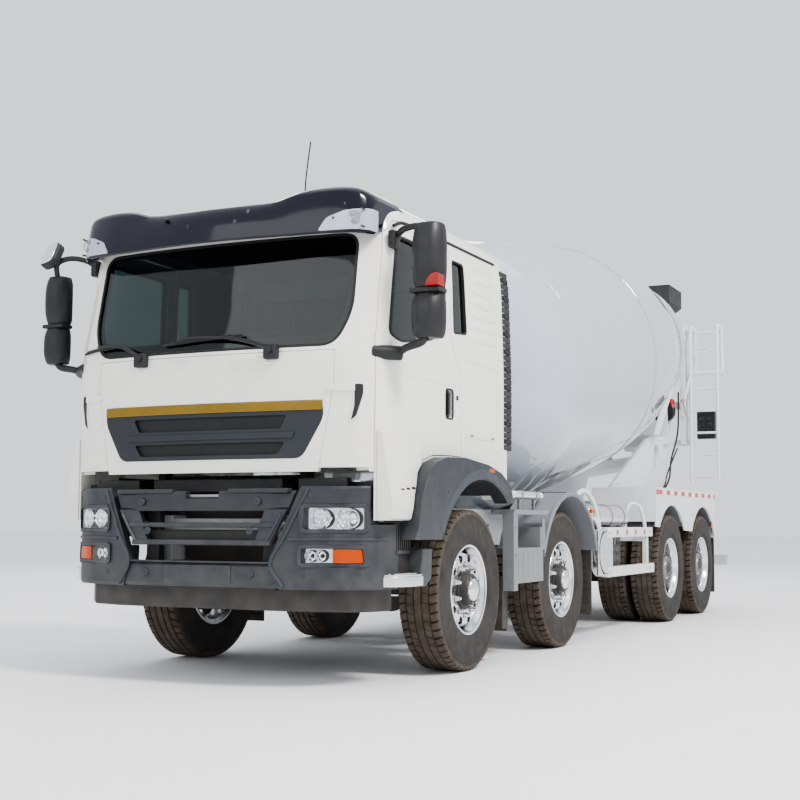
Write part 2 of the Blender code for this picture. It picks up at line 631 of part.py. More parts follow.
def side_guard(side_name, side):
    top = box((GUARD_X - 0.025, 2.76, 0.855), (GUARD_X, 4.23, 0.95))
    bottom = box((GUARD_X - 0.025, 2.76, 0.51), (GUARD_X, 4.28, 0.61))
    arc = circle_points((2.75, 0.73), 0.20, 90, 270, 8)
    inner = circle_points((2.75, 0.73), 0.13, 270, 90, 8)
    nose = prism(arc + [(2.79, 0.53), (2.79, 0.60)] + inner + [(2.79, 0.86), (2.79, 0.93)],
                 0, GUARD_X - 0.025, GUARD_X)
    pieces = [top, bottom, nose]
    for y in (2.82, 4.12):
        pieces.append(box((GUARD_X - 0.06, y - 0.03, 0.53), (GUARD_X - 0.02, y + 0.03, 0.93)))
    pieces.append(box((GUARD_X - 0.06, 2.58, 0.82), (GUARD_X - 0.02, 2.83, 0.86)))
    pieces.append(box((RAIL_OUTER_X + GAP, 2.57, 0.81), (GUARD_X - 0.03, 2.62, 0.87)))
    pieces.append(box((RAIL_OUTER_X + GAP, 4.09, 0.81), (GUARD_X - 0.03, 4.15, 0.87)))
    part(f"side_guard_{side_name}", mirrored(join(pieces), side), "white_paint")


def rear_mudguard(side_name, side):
    """Box fender over the bogie: top, end plates, side with two arches, rear mudflap, bracket."""
    front = 4.37
    rear = 6.92
    top_z = 1.335
    low_x = 0.585
    plate = prism([(front, top_z), (rear, top_z), (rear, 0.86), (front, 0.95)], 0,
                  GUARD_X - 0.015, GUARD_X)
    wheel_cuts = []
    for axle_y in (AXLE_3_Y, AXLE_4_Y):
        rounds = circle_points((axle_y, WHEEL_Z), 0.635, 0, 345, 23)
        wheel_cuts.append(prism(rounds, 0, GUARD_X - 0.1, GUARD_X + 0.1))
    plate = cut(plate, wheel_cuts)
    top = box((low_x, front, top_z - 0.02), (GUARD_X - 0.002, rear, top_z - 0.001))
    front_plate = box((low_x, front + 0.001, 1.00), (GUARD_X - 0.002, front + 0.02, top_z - 0.01))
    rear_plate = box((low_x, rear - 0.02, 0.80), (GUARD_X - 0.002, rear - 0.001, top_z - 0.01))
    flap = box((low_x + 0.02, rear - 0.018, 0.21), (GUARD_X - 0.02, rear - 0.004, 0.82))
    middle = (AXLE_3_Y + AXLE_4_Y) / 2
    arm = box((RAIL_OUTER_X + GAP, middle - 0.035, 0.90), (0.60, middle + 0.035, 0.97))
    leg = box((low_x + 0.002, middle - 0.035, 0.90), (0.61, middle + 0.035, top_z - 0.01))
    made = join([plate, top, front_plate, rear_plate, flap, leg, arm])
    part(f"rear_mudguard_{side_name}", mirrored(made, side), "white_paint")


# ------------------------------------------------------------------ drum and its supports

def drum_skin():
    """Outer profile of the drum from its front flange to its mouth, as (s, radius)."""
    front = []
    for step in range(5):
        angle = radians(90 * step / 4)
        front.append((0.05 + 1.05 * (1 - cos(angle)) ** 0.85, 0.60 + 0.60 * sin(angle)))
    ring_low = RING_S - RING_WIDTH / 2
    ring_high = RING_S + RING_WIDTH / 2
    rear = [(3.45, DRUM_RADIUS), (4.50, 1.119), (5.40, 0.953), (ring_low, 0.80),
            (ring_low, RING_RADIUS), (ring_high, RING_RADIUS), (ring_high, 0.765),
            (DRUM_MOUTH_S, 0.622)]
    return front + rear


def mixer_drum():
    skin = drum_skin()
    inner = [(DRUM_MOUTH_S, 0.622 - DRUM_WALL), (RING_S, 0.775 - DRUM_WALL), (5.40, 0.953 - DRUM_WALL),
             (4.50, 1.119 - DRUM_WALL), (3.45, DRUM_RADIUS - DRUM_WALL), (1.10, DRUM_RADIUS - DRUM_WALL),
             (0.45, 1.00 - DRUM_WALL), (0.08, 0.60 - DRUM_WALL)]
    hub = [(0.08, 0.0), (HUB_S + PIVOT_GAP, 0.0), (HUB_S + PIVOT_GAP, 0.20), (0.03, 0.22)]
    profile = hub + skin + inner
    made = turned(profile, DRUM_SIDES, (0, 0, 0), "Y")
    in_drum_frame(made)
    part("mixer_drum", made, "drum_paint", drum_point(0, 0, 0), True)


def drum_subframe():
    """Sub-frame rails on the chassis, and the front stand with the drum's gearbox."""
    pieces = []
    for side in (1, -1):
        rail = sorted((side * RAIL_INNER_X, side * RAIL_OUTER_X))
        pieces.append(box((rail[0], 0.92, RAIL_TOP + GAP), (rail[1], 7.60, SUBFRAME_TOP)))
        leg = [(0.92, SUBFRAME_TOP - 0.02), (1.20, SUBFRAME_TOP - 0.02), (1.08, 1.75), (0.95, 1.75)]
        pieces.append(prism(leg, 0, rail[0], rail[1]))
    pieces.append(box((-0.42, 0.95, 1.62), (0.42, 1.07, 1.78)))
    pieces.append(box((-0.20, 0.96, 1.70), (0.20, 1.06, 1.90)))
    pieces.append(box((-0.40, 0.94, RAIL_TOP + 0.01), (0.40, 1.06, SUBFRAME_TOP - 0.005)))
    gearbox = in_drum_frame(cylinder((0, -0.36, 0), (0, HUB_S, 0), 0.22, 20))
    pieces.append(gearbox)
    part("drum_subframe", join(pieces), "white_paint")


def roller_place(side):
    reach = RING_RADIUS + ROLLER_RADIUS + PIVOT_GAP
    return (side * reach * sin(ROLLER_ANGLE), RING_S, -reach * cos(ROLLER_ANGLE))


def rear_pedestal():
    """Stand under the drum's ring: side plates, roller beam and cheeks, posts, hopper beam."""
    pieces = []
    for side in (1, -1):
        wall = sorted((side * 0.50, side * 0.54))
        plate = [(5.20, 1.16), (5.20, 1.38), (6.60, 1.96), (7.12, 2.02), (7.86, 2.02),
                 (7.90, 1.94), (7.30, 1.16)]
        made = prism(plate, 0, wall[0], wall[1])
        window = prism(circle_points((6.95, 1.80), 0.11, 0, 345, 15), 0, wall[0] - 0.1, wall[1] + 0.1)
        pieces.append(cut(made, [window]))
        x, s, h = roller_place(side)
        for end in (-1, 1):
            near = s + end * (ROLLER_LENGTH / 2 + PIVOT_GAP)
            far = near + end * 0.02
            low, high = sorted((near, far))
            pieces.append(in_drum_frame(box((x - 0.06, low, -1.10), (x + 0.06, high, h + 0.05))))
        post = sorted((side * 0.69, side * 0.74))
        pieces.append(box((post[0], 7.79, 1.94), (post[1], 7.85, 3.45)))
        pieces.append(box((post[0], 7.80, 3.39), (post[1], 8.26, 3.45)))
    for y in (5.32, 7.10):
        pieces.append(box((-0.52, y - 0.08, SUBFRAME_TOP + GAP), (0.52, y + 0.08, 1.22)))
    pieces.append(in_drum_frame(box((-0.60, RING_S - 0.13, -1.16), (0.60, RING_S + 0.13, -1.06))))
    pieces.append(box((-0.74, 7.79, 1.94), (0.74, 7.85, 2.01)))
    pieces.append(box((-0.72, 8.20 + GAP, 3.395), (0.72, 8.255, 3.445)))
    part("rear_pedestal", join(pieces), "white_paint")


def rollers():
    for side_name, side in (("left", 1), ("right", -1)):
        x, s, h = roller_place(side)
        half = ROLLER_LENGTH / 2
        roller = in_drum_frame(cylinder((x, s - half, h), (x, s + half, h), ROLLER_RADIUS, 20))
        part(f"roller_{side_name}", roller, "cast_metal", drum_point(x, s, h), True)


def frustum_ring(half_x, y_low, y_high, z, shift=0.0):
    return [(-half_x, y_low + shift, z), (half_x, y_low + shift, z), (half_x, y_high + shift, z),
            (-half_x, y_high + shift, z)]


def feed_hopper():
    """Open funnel above and behind the drum's mouth; its spout leads down into the mouth."""
    throat = (HOPPER_THROAT_HALF, *HOPPER_THROAT_Y)
    bowl = (HOPPER_HALF, HOPPER_FRONT_Y, REAR_Y)
    outer = loft([frustum_ring(0.20, 7.72, 7.96, 3.18), frustum_ring(*throat, HOPPER_THROAT_LOW),
                  frustum_ring(*throat, HOPPER_THROAT_TOP), frustum_ring(*bowl, HOPPER_BOWL_LOW),
                  frustum_ring(*bowl, HOPPER_TOP)])
    wall = HOPPER_WALL
    throat = (HOPPER_THROAT_HALF - wall, HOPPER_THROAT_Y[0] + wall, HOPPER_THROAT_Y[1] - wall)
    bowl = (HOPPER_HALF - wall, HOPPER_FRONT_Y + wall, REAR_Y - wall)
    hollow = loft([frustum_ring(0.20 - wall, 7.62, 7.92, 3.05), frustum_ring(*throat, HOPPER_THROAT_LOW),
                   frustum_ring(*throat, HOPPER_THROAT_TOP), frustum_ring(*bowl, HOPPER_BOWL_LOW + 0.01),
                   frustum_ring(*bowl, HOPPER_TOP + 0.07)])
    part("feed_hopper", cut(outer, [hollow]), "rubber")


def discharge_funnel():
    """Open collecting funnel under the drum's mouth."""
    outer = loft([frustum_ring(0.16, 8.10, 8.36, 1.90), frustum_ring(0.30, 8.06, 8.40, 2.10),
                  frustum_ring(0.60, 7.93, 8.42, 2.50)])
    thick = 0.015
    hollow = loft([frustum_ring(0.16 - thick, 8.10 + thick, 8.36 - thick, 1.85),
                   frustum_ring(0.30 - thick, 8.06 + thick, 8.40 - thick, 2.11),
                   frustum_ring(0.60 - thick, 7.93 + thick, 8.42 - thick, 2.55)])
    made = cut(outer, [hollow])
    pieces = [made]
    for side in (1, -1):
        ear = sorted((side * 0.535, side * 0.74))
        pieces.append(box((ear[0], 7.85 + GAP, 2.40), (ear[1], 8.02, 2.47)))
    part("discharge_funnel", join(pieces), "white_paint")


def ladder():
    """Access ladder on the left, with a small platform and a guard hoop at the top."""
    y = 7.70
    x_in = 0.79
    x_out = 1.12
    radius = 0.018
    pieces = []
    back = y + 0.26
    for x in (x_in, x_out):
        pieces.append(pipe([(x, y, 1.48), (x, y, 3.33), (x, back, 3.42), (x, back, 2.835)], radius))
    for index in range(5):
        z = 1.55 + index * 0.27
        pieces.append(pipe([(x_in, y + 0.001, z), (x_out, y + 0.001, z)], 0.014))
    pieces.append(box((x_in - 0.03, y - 0.01, 2.82), (x_out + 0.03, y + 0.30, 2.85)))
    pieces.append(pipe([(x_in, back - 0.002, 3.36), (x_out, back - 0.002, 3.36)], 0.014))
    for z in (1.97, 2.60):
        pieces.append(box((0.74 + GAP, 7.78, z - 0.02), (x_in + 0.02, 7.82, z + 0.02)))
        pieces.append(box((x_in - 0.015, y - 0.005, z - 0.02), (x_in + 0.015, 7.82, z + 0.02)))
    part("ladder", join(pieces, "MANIFOLD"), "white_paint")


# ------------------------------------------------------------------ discharge chute

def in_chute_frame(made):
    """Turn a solid drawn along -X from the chute's hinge down by the parked slope."""
    place = Matrix.Translation((0.0, SWIVEL_Y, CHUTE_HINGE_Z))
    made.data.transform(place @ Matrix.Rotation(-CHUTE_SLOPE, 4, "Y"))
    return made


def trough(start, end, base, half, depth, up=1):
    """A three-sided channel along X with its open side up, or down when up is -1."""
    outline = [(-half, depth), (-half, 0.06), (-half + 0.06, 0.0), (half - 0.06, 0.0),
               (half, 0.06), (half, depth), (half - SHEET, depth), (half - SHEET, 0.065),
               (half - 0.065, SHEET), (-half + 0.065, SHEET), (-half + SHEET, 0.065),
               (-half + SHEET, depth)]
    placed = [(y, base + up * z) for y, z in outline]
    return prism(placed, 0, start, end)


def chute():
    post = cylinder((0, SWIVEL_Y, BRACKET_TOP + PIVOT_GAP), (0, SWIVEL_Y, 1.48), 0.07)
    cheeks = []
    for side in (1, -1):
        near, far = sorted((side * 0.04, side * 0.065))
        cheeks.append(box((-0.045, SWIVEL_Y + near, 1.44), (0.045, SWIVEL_Y + far, CHUTE_HINGE_Z + 0.04)))
    part("chute_post", join([post] + cheeks), "black_steel", (0, SWIVEL_Y, CHUTE_HINGE_Z))
    base = 0.07
    main = trough(-CHUTE_LENGTH, 0.26, base, CHUTE_HALF, CHUTE_DEPTH)
    lug_half = 0.04 - PIVOT_GAP
    lug = box((-0.04, -lug_half, -0.035), (0.04, lug_half, base + 0.006))
    parts = [main, lug]
    top = base + CHUTE_DEPTH
    for side in (1, -1):
        near, far = sorted((side * (CHUTE_HALF - SHEET), side * CHUTE_HALF))
        parts.append(box((-CHUTE_LENGTH - 0.045, near, top - 0.08), (-CHUTE_LENGTH + 0.02, far, top + 0.02)))
    part("chute", in_chute_frame(join(parts)), "white_paint", (0, SWIVEL_Y, CHUTE_HINGE_Z))
    fold_x = -CHUTE_LENGTH - 0.025
    fold_z = top + 0.005
    half = CHUTE_HALF - SHEET - PIVOT_GAP
    cover = trough(-CHUTE_LENGTH + 0.012, -0.38, top + 0.10, half, 0.095, -1)
    ears = []
    for side in (1, -1):
        near, far = sorted((side * (half - SHEET), side * half))
        ears.append(box((fold_x - 0.02, near, fold_z - 0.02), (-CHUTE_LENGTH + 0.05, far, fold_z + 0.04)))
    pivot = Vector((fold_x, 0, fold_z))
    turn = Matrix.Rotation(-CHUTE_SLOPE, 3, "Y")
    hinge = turn @ pivot + Vector((0, SWIVEL_Y, CHUTE_HINGE_Z))
    part("chute_extension", in_chute_frame(join([cover] + ears)), "white_paint", hinge)
    return hinge


# ------------------------------------------------------------------ cab

def cab_outline(z, inset):
    """Plan outline of the cab's skin at one height, set in by the given amount."""
    stations = [(CAB_SKIRT_Z, 0.0, 0.0, 0.0), (GLASS_BOTTOM_Z, 0.0, 0.0, 0.0),
                (GLASS_TOP_Z, 0.13, 0.01, 0.02), (2.84, 0.17, 0.05, 0.04),
                (2.95, 0.27, 0.17, 0.12), (ROOF_Z, 0.47, 0.37, 0.34)]
    lower = stations[0]
    upper = stations[-1]
    for first, second in zip(stations, stations[1:]):
        if first[0] <= z <= second[0]:
            lower, upper = first, second
    share = (z - lower[0]) / (upper[0] - lower[0])
    share = min(max(share, 0.0), 1.0)
    lean, tail, side = (low + share * (high - low) for low, high in zip(lower[1:], upper[1:]))
    front = CAB_FRONT_Y + lean + inset
    rear = CAB_REAR_Y - tail - inset
    half = CAB_HALF - side - inset
    right = [(0.0, front), (0.45 * half / CAB_HALF, front + 0.015), (0.75 * half / CAB_HALF, front + 0.04),
             (half - 0.19, front + 0.075), (half - 0.09, front + 0.12), (half - 0.03, front + 0.175),
             (half, front + 0.26), (half, rear - 0.08), (half - 0.05, rear), (0.0, rear)]
    left = [(-x, y) for x, y in reversed(right[1:-1])]
    return [(x, y, z) for x, y in right + left]


def cab_solid(low_z, inset=0.0, top_drop=0.0):
    levels = [low_z]
    for z in (GLASS_BOTTOM_Z, GLASS_TOP_Z, 2.84, 2.95, ROOF_Z):
        levels.append(z - top_drop)
    rings = []
    for z in levels:
        ring = cab_outline(min(z + top_drop, ROOF_Z), inset)
        rings.append([(x, y, z) for x, y, _ in ring])
    return loft(rings)


def grown(outline, amount):
    """Push a plane outline outwards (or inwards when negative) by an even amount."""
    total = 0.0
    for first, second in zip(outline, outline[1:] + outline[:1]):
        total += first[0] * second[1] - second[0] * first[1]
    turn = 1.0 if total > 0 else -1.0
    points = []
    count = len(outline)
    for index, point in enumerate(outline):
        before = Vector(outline[index - 1])
        here = Vector(point)
        after = Vector(outline[(index + 1) % count])
        first = (here - before).normalized()
        second = (after - here).normalized()
        out_first = Vector((first.y, -first.x)) * turn
        out_second = Vector((second.y, -second.x)) * turn
        middle = (out_first + out_second).normalized()
        reach = amount / max(middle.dot(out_first), 0.5)
        moved = here + middle * reach
        points.append((moved.x, moved.y))
    return points


def flare_outline():
    """Outer edge of the wheel arch trim, from its front foot over the top to its rear foot."""
    return [(-1.04, 0.875), (-1.00, 0.95), (-0.95, 1.13), (-0.86, 1.27), (-0.74, 1.35), (-0.58, 1.39),
            (-0.30, 1.40), (0.10, 1.37), (0.34, 1.32), (0.50, 1.24), (0.57, 1.116)]


def door_outline():
    edge = []
    for y, z in flare_outline()[1:8]:
        if z >= DOOR_BOTTOM_Z and y < DOOR_REAR_Y:
            edge.append((y, z + 2 * SEAM))
    start = [(-1.14, 2.72), (DOOR_FRONT_Y, GLASS_BOTTOM_Z), (DOOR_FRONT_Y, DOOR_BOTTOM_Z),
             (-1.01, DOOR_BOTTOM_Z)]
    finish = [(DOOR_REAR_Y, 1.40 + 2 * SEAM), (DOOR_REAR_Y, 1.95), (DOOR_REAR_TOP_Y, 2.17),
              (DOOR_REAR_TOP_Y, DOOR_TOP_Z), (-1.06, DOOR_TOP_Z)]
    return start + edge + finish


WINDOW = [(-1.19, 2.10), (-1.08, 2.66), (-1.02, 2.72), (-0.38, 2.72), (-0.38, 2.22), (-0.62, 2.13),
          (-1.05, 2.06)]
QUARTER = [(-0.25, 2.22), (-0.25, 2.72), (-0.06, 2.72), (-0.03, 2.24)]
SCREEN = [(-0.86, GLASS_BOTTOM_Z), (0.86, GLASS_BOTTOM_Z), (0.93, GLASS_TOP_Z), (-0.93, GLASS_TOP_Z)]
PANEL = [(-0.765, CAB_SILL_Z), (0.765, CAB_SILL_Z), (0.86, 1.99), (-0.86, 1.99)]


def cab_shell():
    shell = cab_solid(CAB_SKIRT_Z)
    inside = cab_solid(CAB_FLOOR_TOP_Z, CAB_WALL, 0.07)
    cutters = [inside]
    cutters.append(box((-1.06, -1.7, CAB_SKIRT_Z - 0.1), (1.06, 1.0, CAB_FLOOR_Z)))
    cutters.append(box((-1.3, -1.7, CAB_SKIRT_Z - 0.1), (1.3, 0.0, CAB_SILL_Z)))
    round_arch = circle_points((AXLE_1_Y, WHEEL_Z), ARCH_RADIUS + ARCH_LINER + 2 * GAP, 0, 352.5, 47)
    cutters.append(prism(round_arch, 0, -1.3, 1.3))
    cutters.append(prism(SCREEN, 1, -1.7, -1.1))
    panel_space = prism(grown(PANEL, 0.004), 1, -1.7, -1.2)
    panel_space = cut(panel_space, [cab_solid(CAB_SKIRT_Z - 0.1, PANEL_THICK + GAP)])
    cutters.append(panel_space)
    for side in (1, -1):
        span = sorted((side * 0.95, side * 1.3))
        cutters.append(prism(grown(door_outline(), SEAM), 0, span[0], span[1]))
        cutters.append(prism(QUARTER, 0, span[0], span[1]))
    shell = cut(shell, cutters)
    pivot_y, pivot_z = TILT_PIVOT
    arms = []
    for side in (1, -1):
        span = sorted((side * TILT_ARM_X, side * (TILT_ARM_X + 0.06)))
        arm = [(pivot_y - 0.045, pivot_z - 0.02), (pivot_y - 0.02, pivot_z - 0.045),
               (pivot_y + 0.25, pivot_z - 0.045), (pivot_y + 0.25, CAB_FLOOR_Z + 0.02),
               (pivot_y + 0.17, CAB_FLOOR_Z + 0.02), (pivot_y + 0.17, pivot_z + 0.06),
               (pivot_y - 0.02, pivot_z + 0.045), (pivot_y - 0.045, pivot_z + 0.02)]
        arms.append(prism(arm, 0, span[0], span[1]))
    part("cab_shell", join([shell] + arms), "white_paint", (0, pivot_y, pivot_z))


def front_panel():
    made = common(cab_solid(CAB_SKIRT_Z), prism(PANEL, 1, -1.7, -1.2))
    made = cut(made, [cab_solid(CAB_SKIRT_Z - 0.1, PANEL_THICK)])
    part("front_panel", made, "white_paint", (0, TILT_PIVOT[0], TILT_PIVOT[1]))


def windscreen():
    glass = common(cab_solid(CAB_SKIRT_Z, 0.008), prism(grown(SCREEN, -GAP), 1, -1.7, -1.1))
    glass = cut(glass, [cab_solid(CAB_SKIRT_Z - 0.1, 0.008 + GLASS_THICK)])
    part("windscreen", glass, "glass", (0, TILT_PIVOT[0], TILT_PIVOT[1]))


def sun_visor():
    """Peak over the windscreen; higher towards its ends than in the middle."""
    stations = [(-1.06, 2.93, 0.19), (-0.98, 2.985, 0.12), (-0.62, 2.985, 0.06), (-0.42, 2.92, 0.03),
                (0.0, 2.92, 0.0), (0.42, 2.92, 0.03), (0.62, 2.985, 0.06), (0.98, 2.985, 0.12),
                (1.06, 2.93, 0.19)]
    rings = []
    for x, top, back in stations:
        y = FRONT_Y + back
        rings.append([(x, y, 2.70), (x, y + 0.015, 2.685), (x, y + 0.06, 2.72), (x, y + 0.42, 2.78),
                      (x, y + 0.42, top), (x, y + 0.16, top)])
    made = loft(rings)
    made = cut(made, [cab_solid(CAB_SKIRT_Z, -GAP)])
    part("sun_visor", made, "visor_plastic", (0, TILT_PIVOT[0], TILT_PIVOT[1]))


def door(side_name, side):
    """Whole door: skin on the cab's line, flared foot, hinge leaves, window cut."""
    body = cab_solid(DOOR_BOTTOM_Z - 0.05)
    flare = prism([(CAB_HALF - 0.04, DOOR_BOTTOM_Z), (DOOR_FLARE_X, DOOR_BOTTOM_Z), (DOOR_FLARE_X, 1.08),
                   (CAB_HALF + 0.02, 1.34), (CAB_HALF - 0.002, 1.48), (CAB_HALF - 0.04, 1.48)],
                  1, DOOR_FRONT_Y, -0.60)
    body = join([body, flare])
    body = common(body, prism(door_outline(), 0, 1.0, 1.4))
    window = prism(WINDOW, 0, 0.8, 1.4)
    foot_space = box((0.8, -1.5, DOOR_BOTTOM_Z - 0.1), (DOOR_FOOT_X, 0.0, CAB_SILL_Z + SEAM))
    body = cut(body, [cab_solid(DOOR_BOTTOM_Z - 0.2, CAB_WALL), window, foot_space])
    leaves = []
    for z in HINGE_LEAF_Z:
        leaves.append(box((1.03, DOOR_FRONT_Y - SEAM + GAP, z - 0.04),
                          (1.06, DOOR_FRONT_Y + 0.01, z + 0.04)))
    body = join([body] + leaves)
    part(f"door_{side_name}", mirrored(body, side), "white_paint",
         (side * DOOR_HINGE[0], DOOR_HINGE[1], DOOR_BOTTOM_Z))
    glass = prism(grown(WINDOW, -GAP), 0, 0.9, 1.4)
    glass = common(glass, cab_solid(DOOR_BOTTOM_Z, 0.02))
    glass = cut(glass, [cab_solid(DOOR_BOTTOM_Z - 0.1, 0.02 + GLASS_THICK)])
    part(f"door_glass_{side_name}", mirrored(glass, side), "glass",
         (side * DOOR_HINGE[0], DOOR_HINGE[1], DOOR_BOTTOM_Z))


def wheel_arch(side_name, side):
    inner = circle_points((AXLE_1_Y, WHEEL_Z), ARCH_RADIUS, 52.5, 150, 13)
    outline = flare_outline() + inner + [(-0.66, 0.875)]
    trim = prism(outline, 0, CAB_HALF + GAP, FLARE_X)
    arc_in = circle_points((AXLE_1_Y, WHEEL_Z), ARCH_RADIUS, 60, 142.5, 11)
    arc_out = circle_points((AXLE_1_Y, WHEEL_Z), ARCH_RADIUS + ARCH_LINER, 142.5, 60, 11)
    liner = prism(arc_in + arc_out, 0, 0.80, CAB_HALF + 0.05)
    made = join([trim, liner])
    part(f"wheel_arch_{side_name}", mirrored(made, side), "dark_plastic",
         (0, TILT_PIVOT[0], TILT_PIVOT[1]))


def mirror(side_name, side):
    """Tall mirror head on two arms that stand on the door."""
    head = box((1.29, -1.26, 2.05), (1.49, -1.10, 2.74))
    modifier = head.modifiers.new("round", "BEVEL")
    modifier.width = 0.04
    modifier.segments = 2
    modifier.limit_method = "ANGLE"
    face = CAB_HALF + GAP
    upper = pipe([(face + 0.008, -1.12, 2.66), (1.22, -1.16, 2.70), (1.34, -1.18, 2.70)], 0.022)
    lower = pipe([(face + 0.012, -1.14, 1.98), (1.22, -1.17, 2.02), (1.34, -1.18, 2.09)], 0.025)
    upper_foot = box((face - 0.012, -1.15, 2.60), (face + 0.02, -1.09, 2.71))
    foot = box((face, -1.20, 1.93), (face + 0.03, -1.08, 2.03))
    made = join([head, upper, lower, foot, upper_foot])
    made = cut(made, [cab_solid(DOOR_BOTTOM_Z, -GAP)])
    part(f"mirror_{side_name}", mirrored(made, side), "dark_plastic",
         (side * DOOR_HINGE[0], DOOR_HINGE[1], DOOR_BOTTOM_Z))


def seat(name, side):
    floor = CAB_FLOOR_TOP_Z + GAP
    plinth = box((0.36, -0.30, floor), (0.74, 0.10, floor + 0.30))
    cushion = box((0.30, -0.42, floor + 0.28), (0.80, 0.14, floor + 0.44))
    back = prism([(0.06, floor + 0.40), (0.20, floor + 0.38), (0.32, floor + 1.05), (0.22, floor + 1.06)],
                 0, 0.31, 0.79)
    head = box((0.42, 0.22, floor + 1.03), (0.68, 0.33, floor + 1.26))
    made = join([plinth, cushion, back, head])
    part(name, mirrored(made, side), "seat_fabric", (0, TILT_PIVOT[0], TILT_PIVOT[1]))


def dashboard():
    """Dashboard across the cab, with the steering column and wheel in front of the driver."""
    floor = CAB_FLOOR_TOP_Z + GAP
    body = prism([(-1.33, 1.62), (-0.98, 1.62), (-0.90, 1.98), (-1.08, 2.02), (-1.33, 2.00)],
                 0, -DASH_HALF, DASH_HALF)
    stand = box((-0.20, -1.33, floor), (0.20, -1.05, 1.70))
    tower = box((-0.90, -1.33, floor), (0.90, -1.24, 1.70))
    column = cylinder((0.55, -1.02, 1.80), (0.55, -0.76, 2.02), 0.035, 10)
    hub = Vector((0.55, -0.76, 2.02))
    place = Matrix.Translation(hub) @ Matrix.Rotation(radians(-50), 4, "X")
    grip = []
    for step in range(6):
        angle = 2 * pi * step / 6
        grip.append((0.017 * sin(angle), 0.22 + 0.017 * cos(angle)))
    wheel = turned(grip, 16, (0, 0, 0), "Z")
    spokes = [box((-0.215, -0.02, -0.008), (0.215, 0.02, 0.008)),
              box((-0.015, -0.215, -0.006), (0.015, 0.0, 0.006))]
    for piece in [wheel] + spokes:
        piece.data.transform(place)
    made = join([body, stand, tower, column, wheel] + spokes)
    shell_inside = cab_solid(CAB_FLOOR_TOP_Z, CAB_WALL + GAP, 0.07)
    made = common(made, shell_inside)
    part("dashboard", made, "dark_plastic", (0, TILT_PIVOT[0], TILT_PIVOT[1]))


# ------------------------------------------------------------------ assembly

def build():
    clear_scene()
    sides = (("left", 1), ("right", -1))
    for number, axle_y in ((1, AXLE_1_Y), (2, AXLE_2_Y)):
        steered_axle(number, axle_y)
        for side_name, side in sides:
            knuckle(number, side_name, side, axle_y)
            front_wheel(number, side_name, side, axle_y)
    for number, axle_y in ((3, AXLE_3_Y), (4, AXLE_4_Y)):
        drive_axle(number, axle_y, number == 4)
        for side_name, side in sides:
            twin_wheel(number, side_name, side, axle_y)
    chassis_frame()
    engine()
    propshaft()
    front_bumper()
    side_tanks()
    drum_subframe()
    mixer_drum()
    rear_pedestal()
    rollers()
    feed_hopper()
    discharge_funnel()
    ladder()
    chute()
    cab_shell()
    front_panel()
    windscreen()
    sun_visor()
    dashboard()
    seat("driver_seat", 1)
    seat("passenger_seat", -1)
    for side_name, side in sides:
        second_mudguard(side_name, side)
        side_guard(side_name, side)
        rear_mudguard(side_name, side)
        door(side_name, side)
        wheel_arch(side_name, side)
        mirror(side_name, side)


build()
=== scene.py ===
"""Looks for a four-axle concrete mixer truck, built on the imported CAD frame.

Positions are given in the truck frame: x to the truck's left, y rearwards from the first axle,
z up from the ground.  The world's y is measured from mid-length, so every mesh is moved by MID.
"""

import json
from math import cos, exp, pi, radians, sin, sqrt

import bmesh
import bpy
from mathutils import Matrix, Vector

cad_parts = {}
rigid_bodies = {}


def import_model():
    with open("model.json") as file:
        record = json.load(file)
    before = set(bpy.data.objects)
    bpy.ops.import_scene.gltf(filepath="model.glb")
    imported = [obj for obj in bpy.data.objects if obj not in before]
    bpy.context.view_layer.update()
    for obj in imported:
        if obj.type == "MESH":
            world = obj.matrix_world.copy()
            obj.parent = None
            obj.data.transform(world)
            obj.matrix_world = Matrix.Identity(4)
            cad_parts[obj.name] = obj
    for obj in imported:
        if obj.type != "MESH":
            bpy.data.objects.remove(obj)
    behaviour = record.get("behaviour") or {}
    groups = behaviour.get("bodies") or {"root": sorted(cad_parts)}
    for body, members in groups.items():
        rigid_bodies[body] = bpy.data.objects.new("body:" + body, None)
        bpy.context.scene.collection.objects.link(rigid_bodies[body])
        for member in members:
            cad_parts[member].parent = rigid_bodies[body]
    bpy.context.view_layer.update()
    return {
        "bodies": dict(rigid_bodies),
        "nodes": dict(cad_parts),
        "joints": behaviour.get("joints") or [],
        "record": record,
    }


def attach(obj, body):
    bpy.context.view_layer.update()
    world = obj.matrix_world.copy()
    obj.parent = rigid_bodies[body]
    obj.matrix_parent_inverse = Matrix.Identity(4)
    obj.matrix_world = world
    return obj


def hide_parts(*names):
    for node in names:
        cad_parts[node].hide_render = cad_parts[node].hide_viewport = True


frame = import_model()
NODES = frame["nodes"]
MID = 3.48
SIDES = (("left", 1), ("right", -1))
AXLE_Y = {1: 0.0, 2: 1.86, 3: 4.98, 4: 6.33}


def span(side, near, far):
    """Low and high x of a stretch, from its two distances to the truck's middle."""
    return sorted((side * near, side * far))


# ------------------------------------------------------------------ materials

def mapped(tree, value, low, high, to_low, to_high):
    node = tree.nodes.new("ShaderNodeMapRange")
    tree.links.new(value, node.inputs["Value"])
    for key, number in (("From Min", low), ("From Max", high), ("To Min", to_low), ("To Max", to_high)):
        node.inputs[key].default_value = number
    return node.outputs["Result"]


def noise_of(tree, place, scale, detail=4.0, stretch=None):
    if stretch:
        mapping = tree.nodes.new("ShaderNodeMapping")
        mapping.inputs["Scale"].default_value = stretch
        tree.links.new(place, mapping.inputs["Vector"])
        place = mapping.outputs["Vector"]
    node = tree.nodes.new("ShaderNodeTexNoise")
    node.inputs["Scale"].default_value = scale
    node.inputs["Detail"].default_value = detail
    tree.links.new(place, node.inputs["Vector"])
    return node.outputs["Fac"]


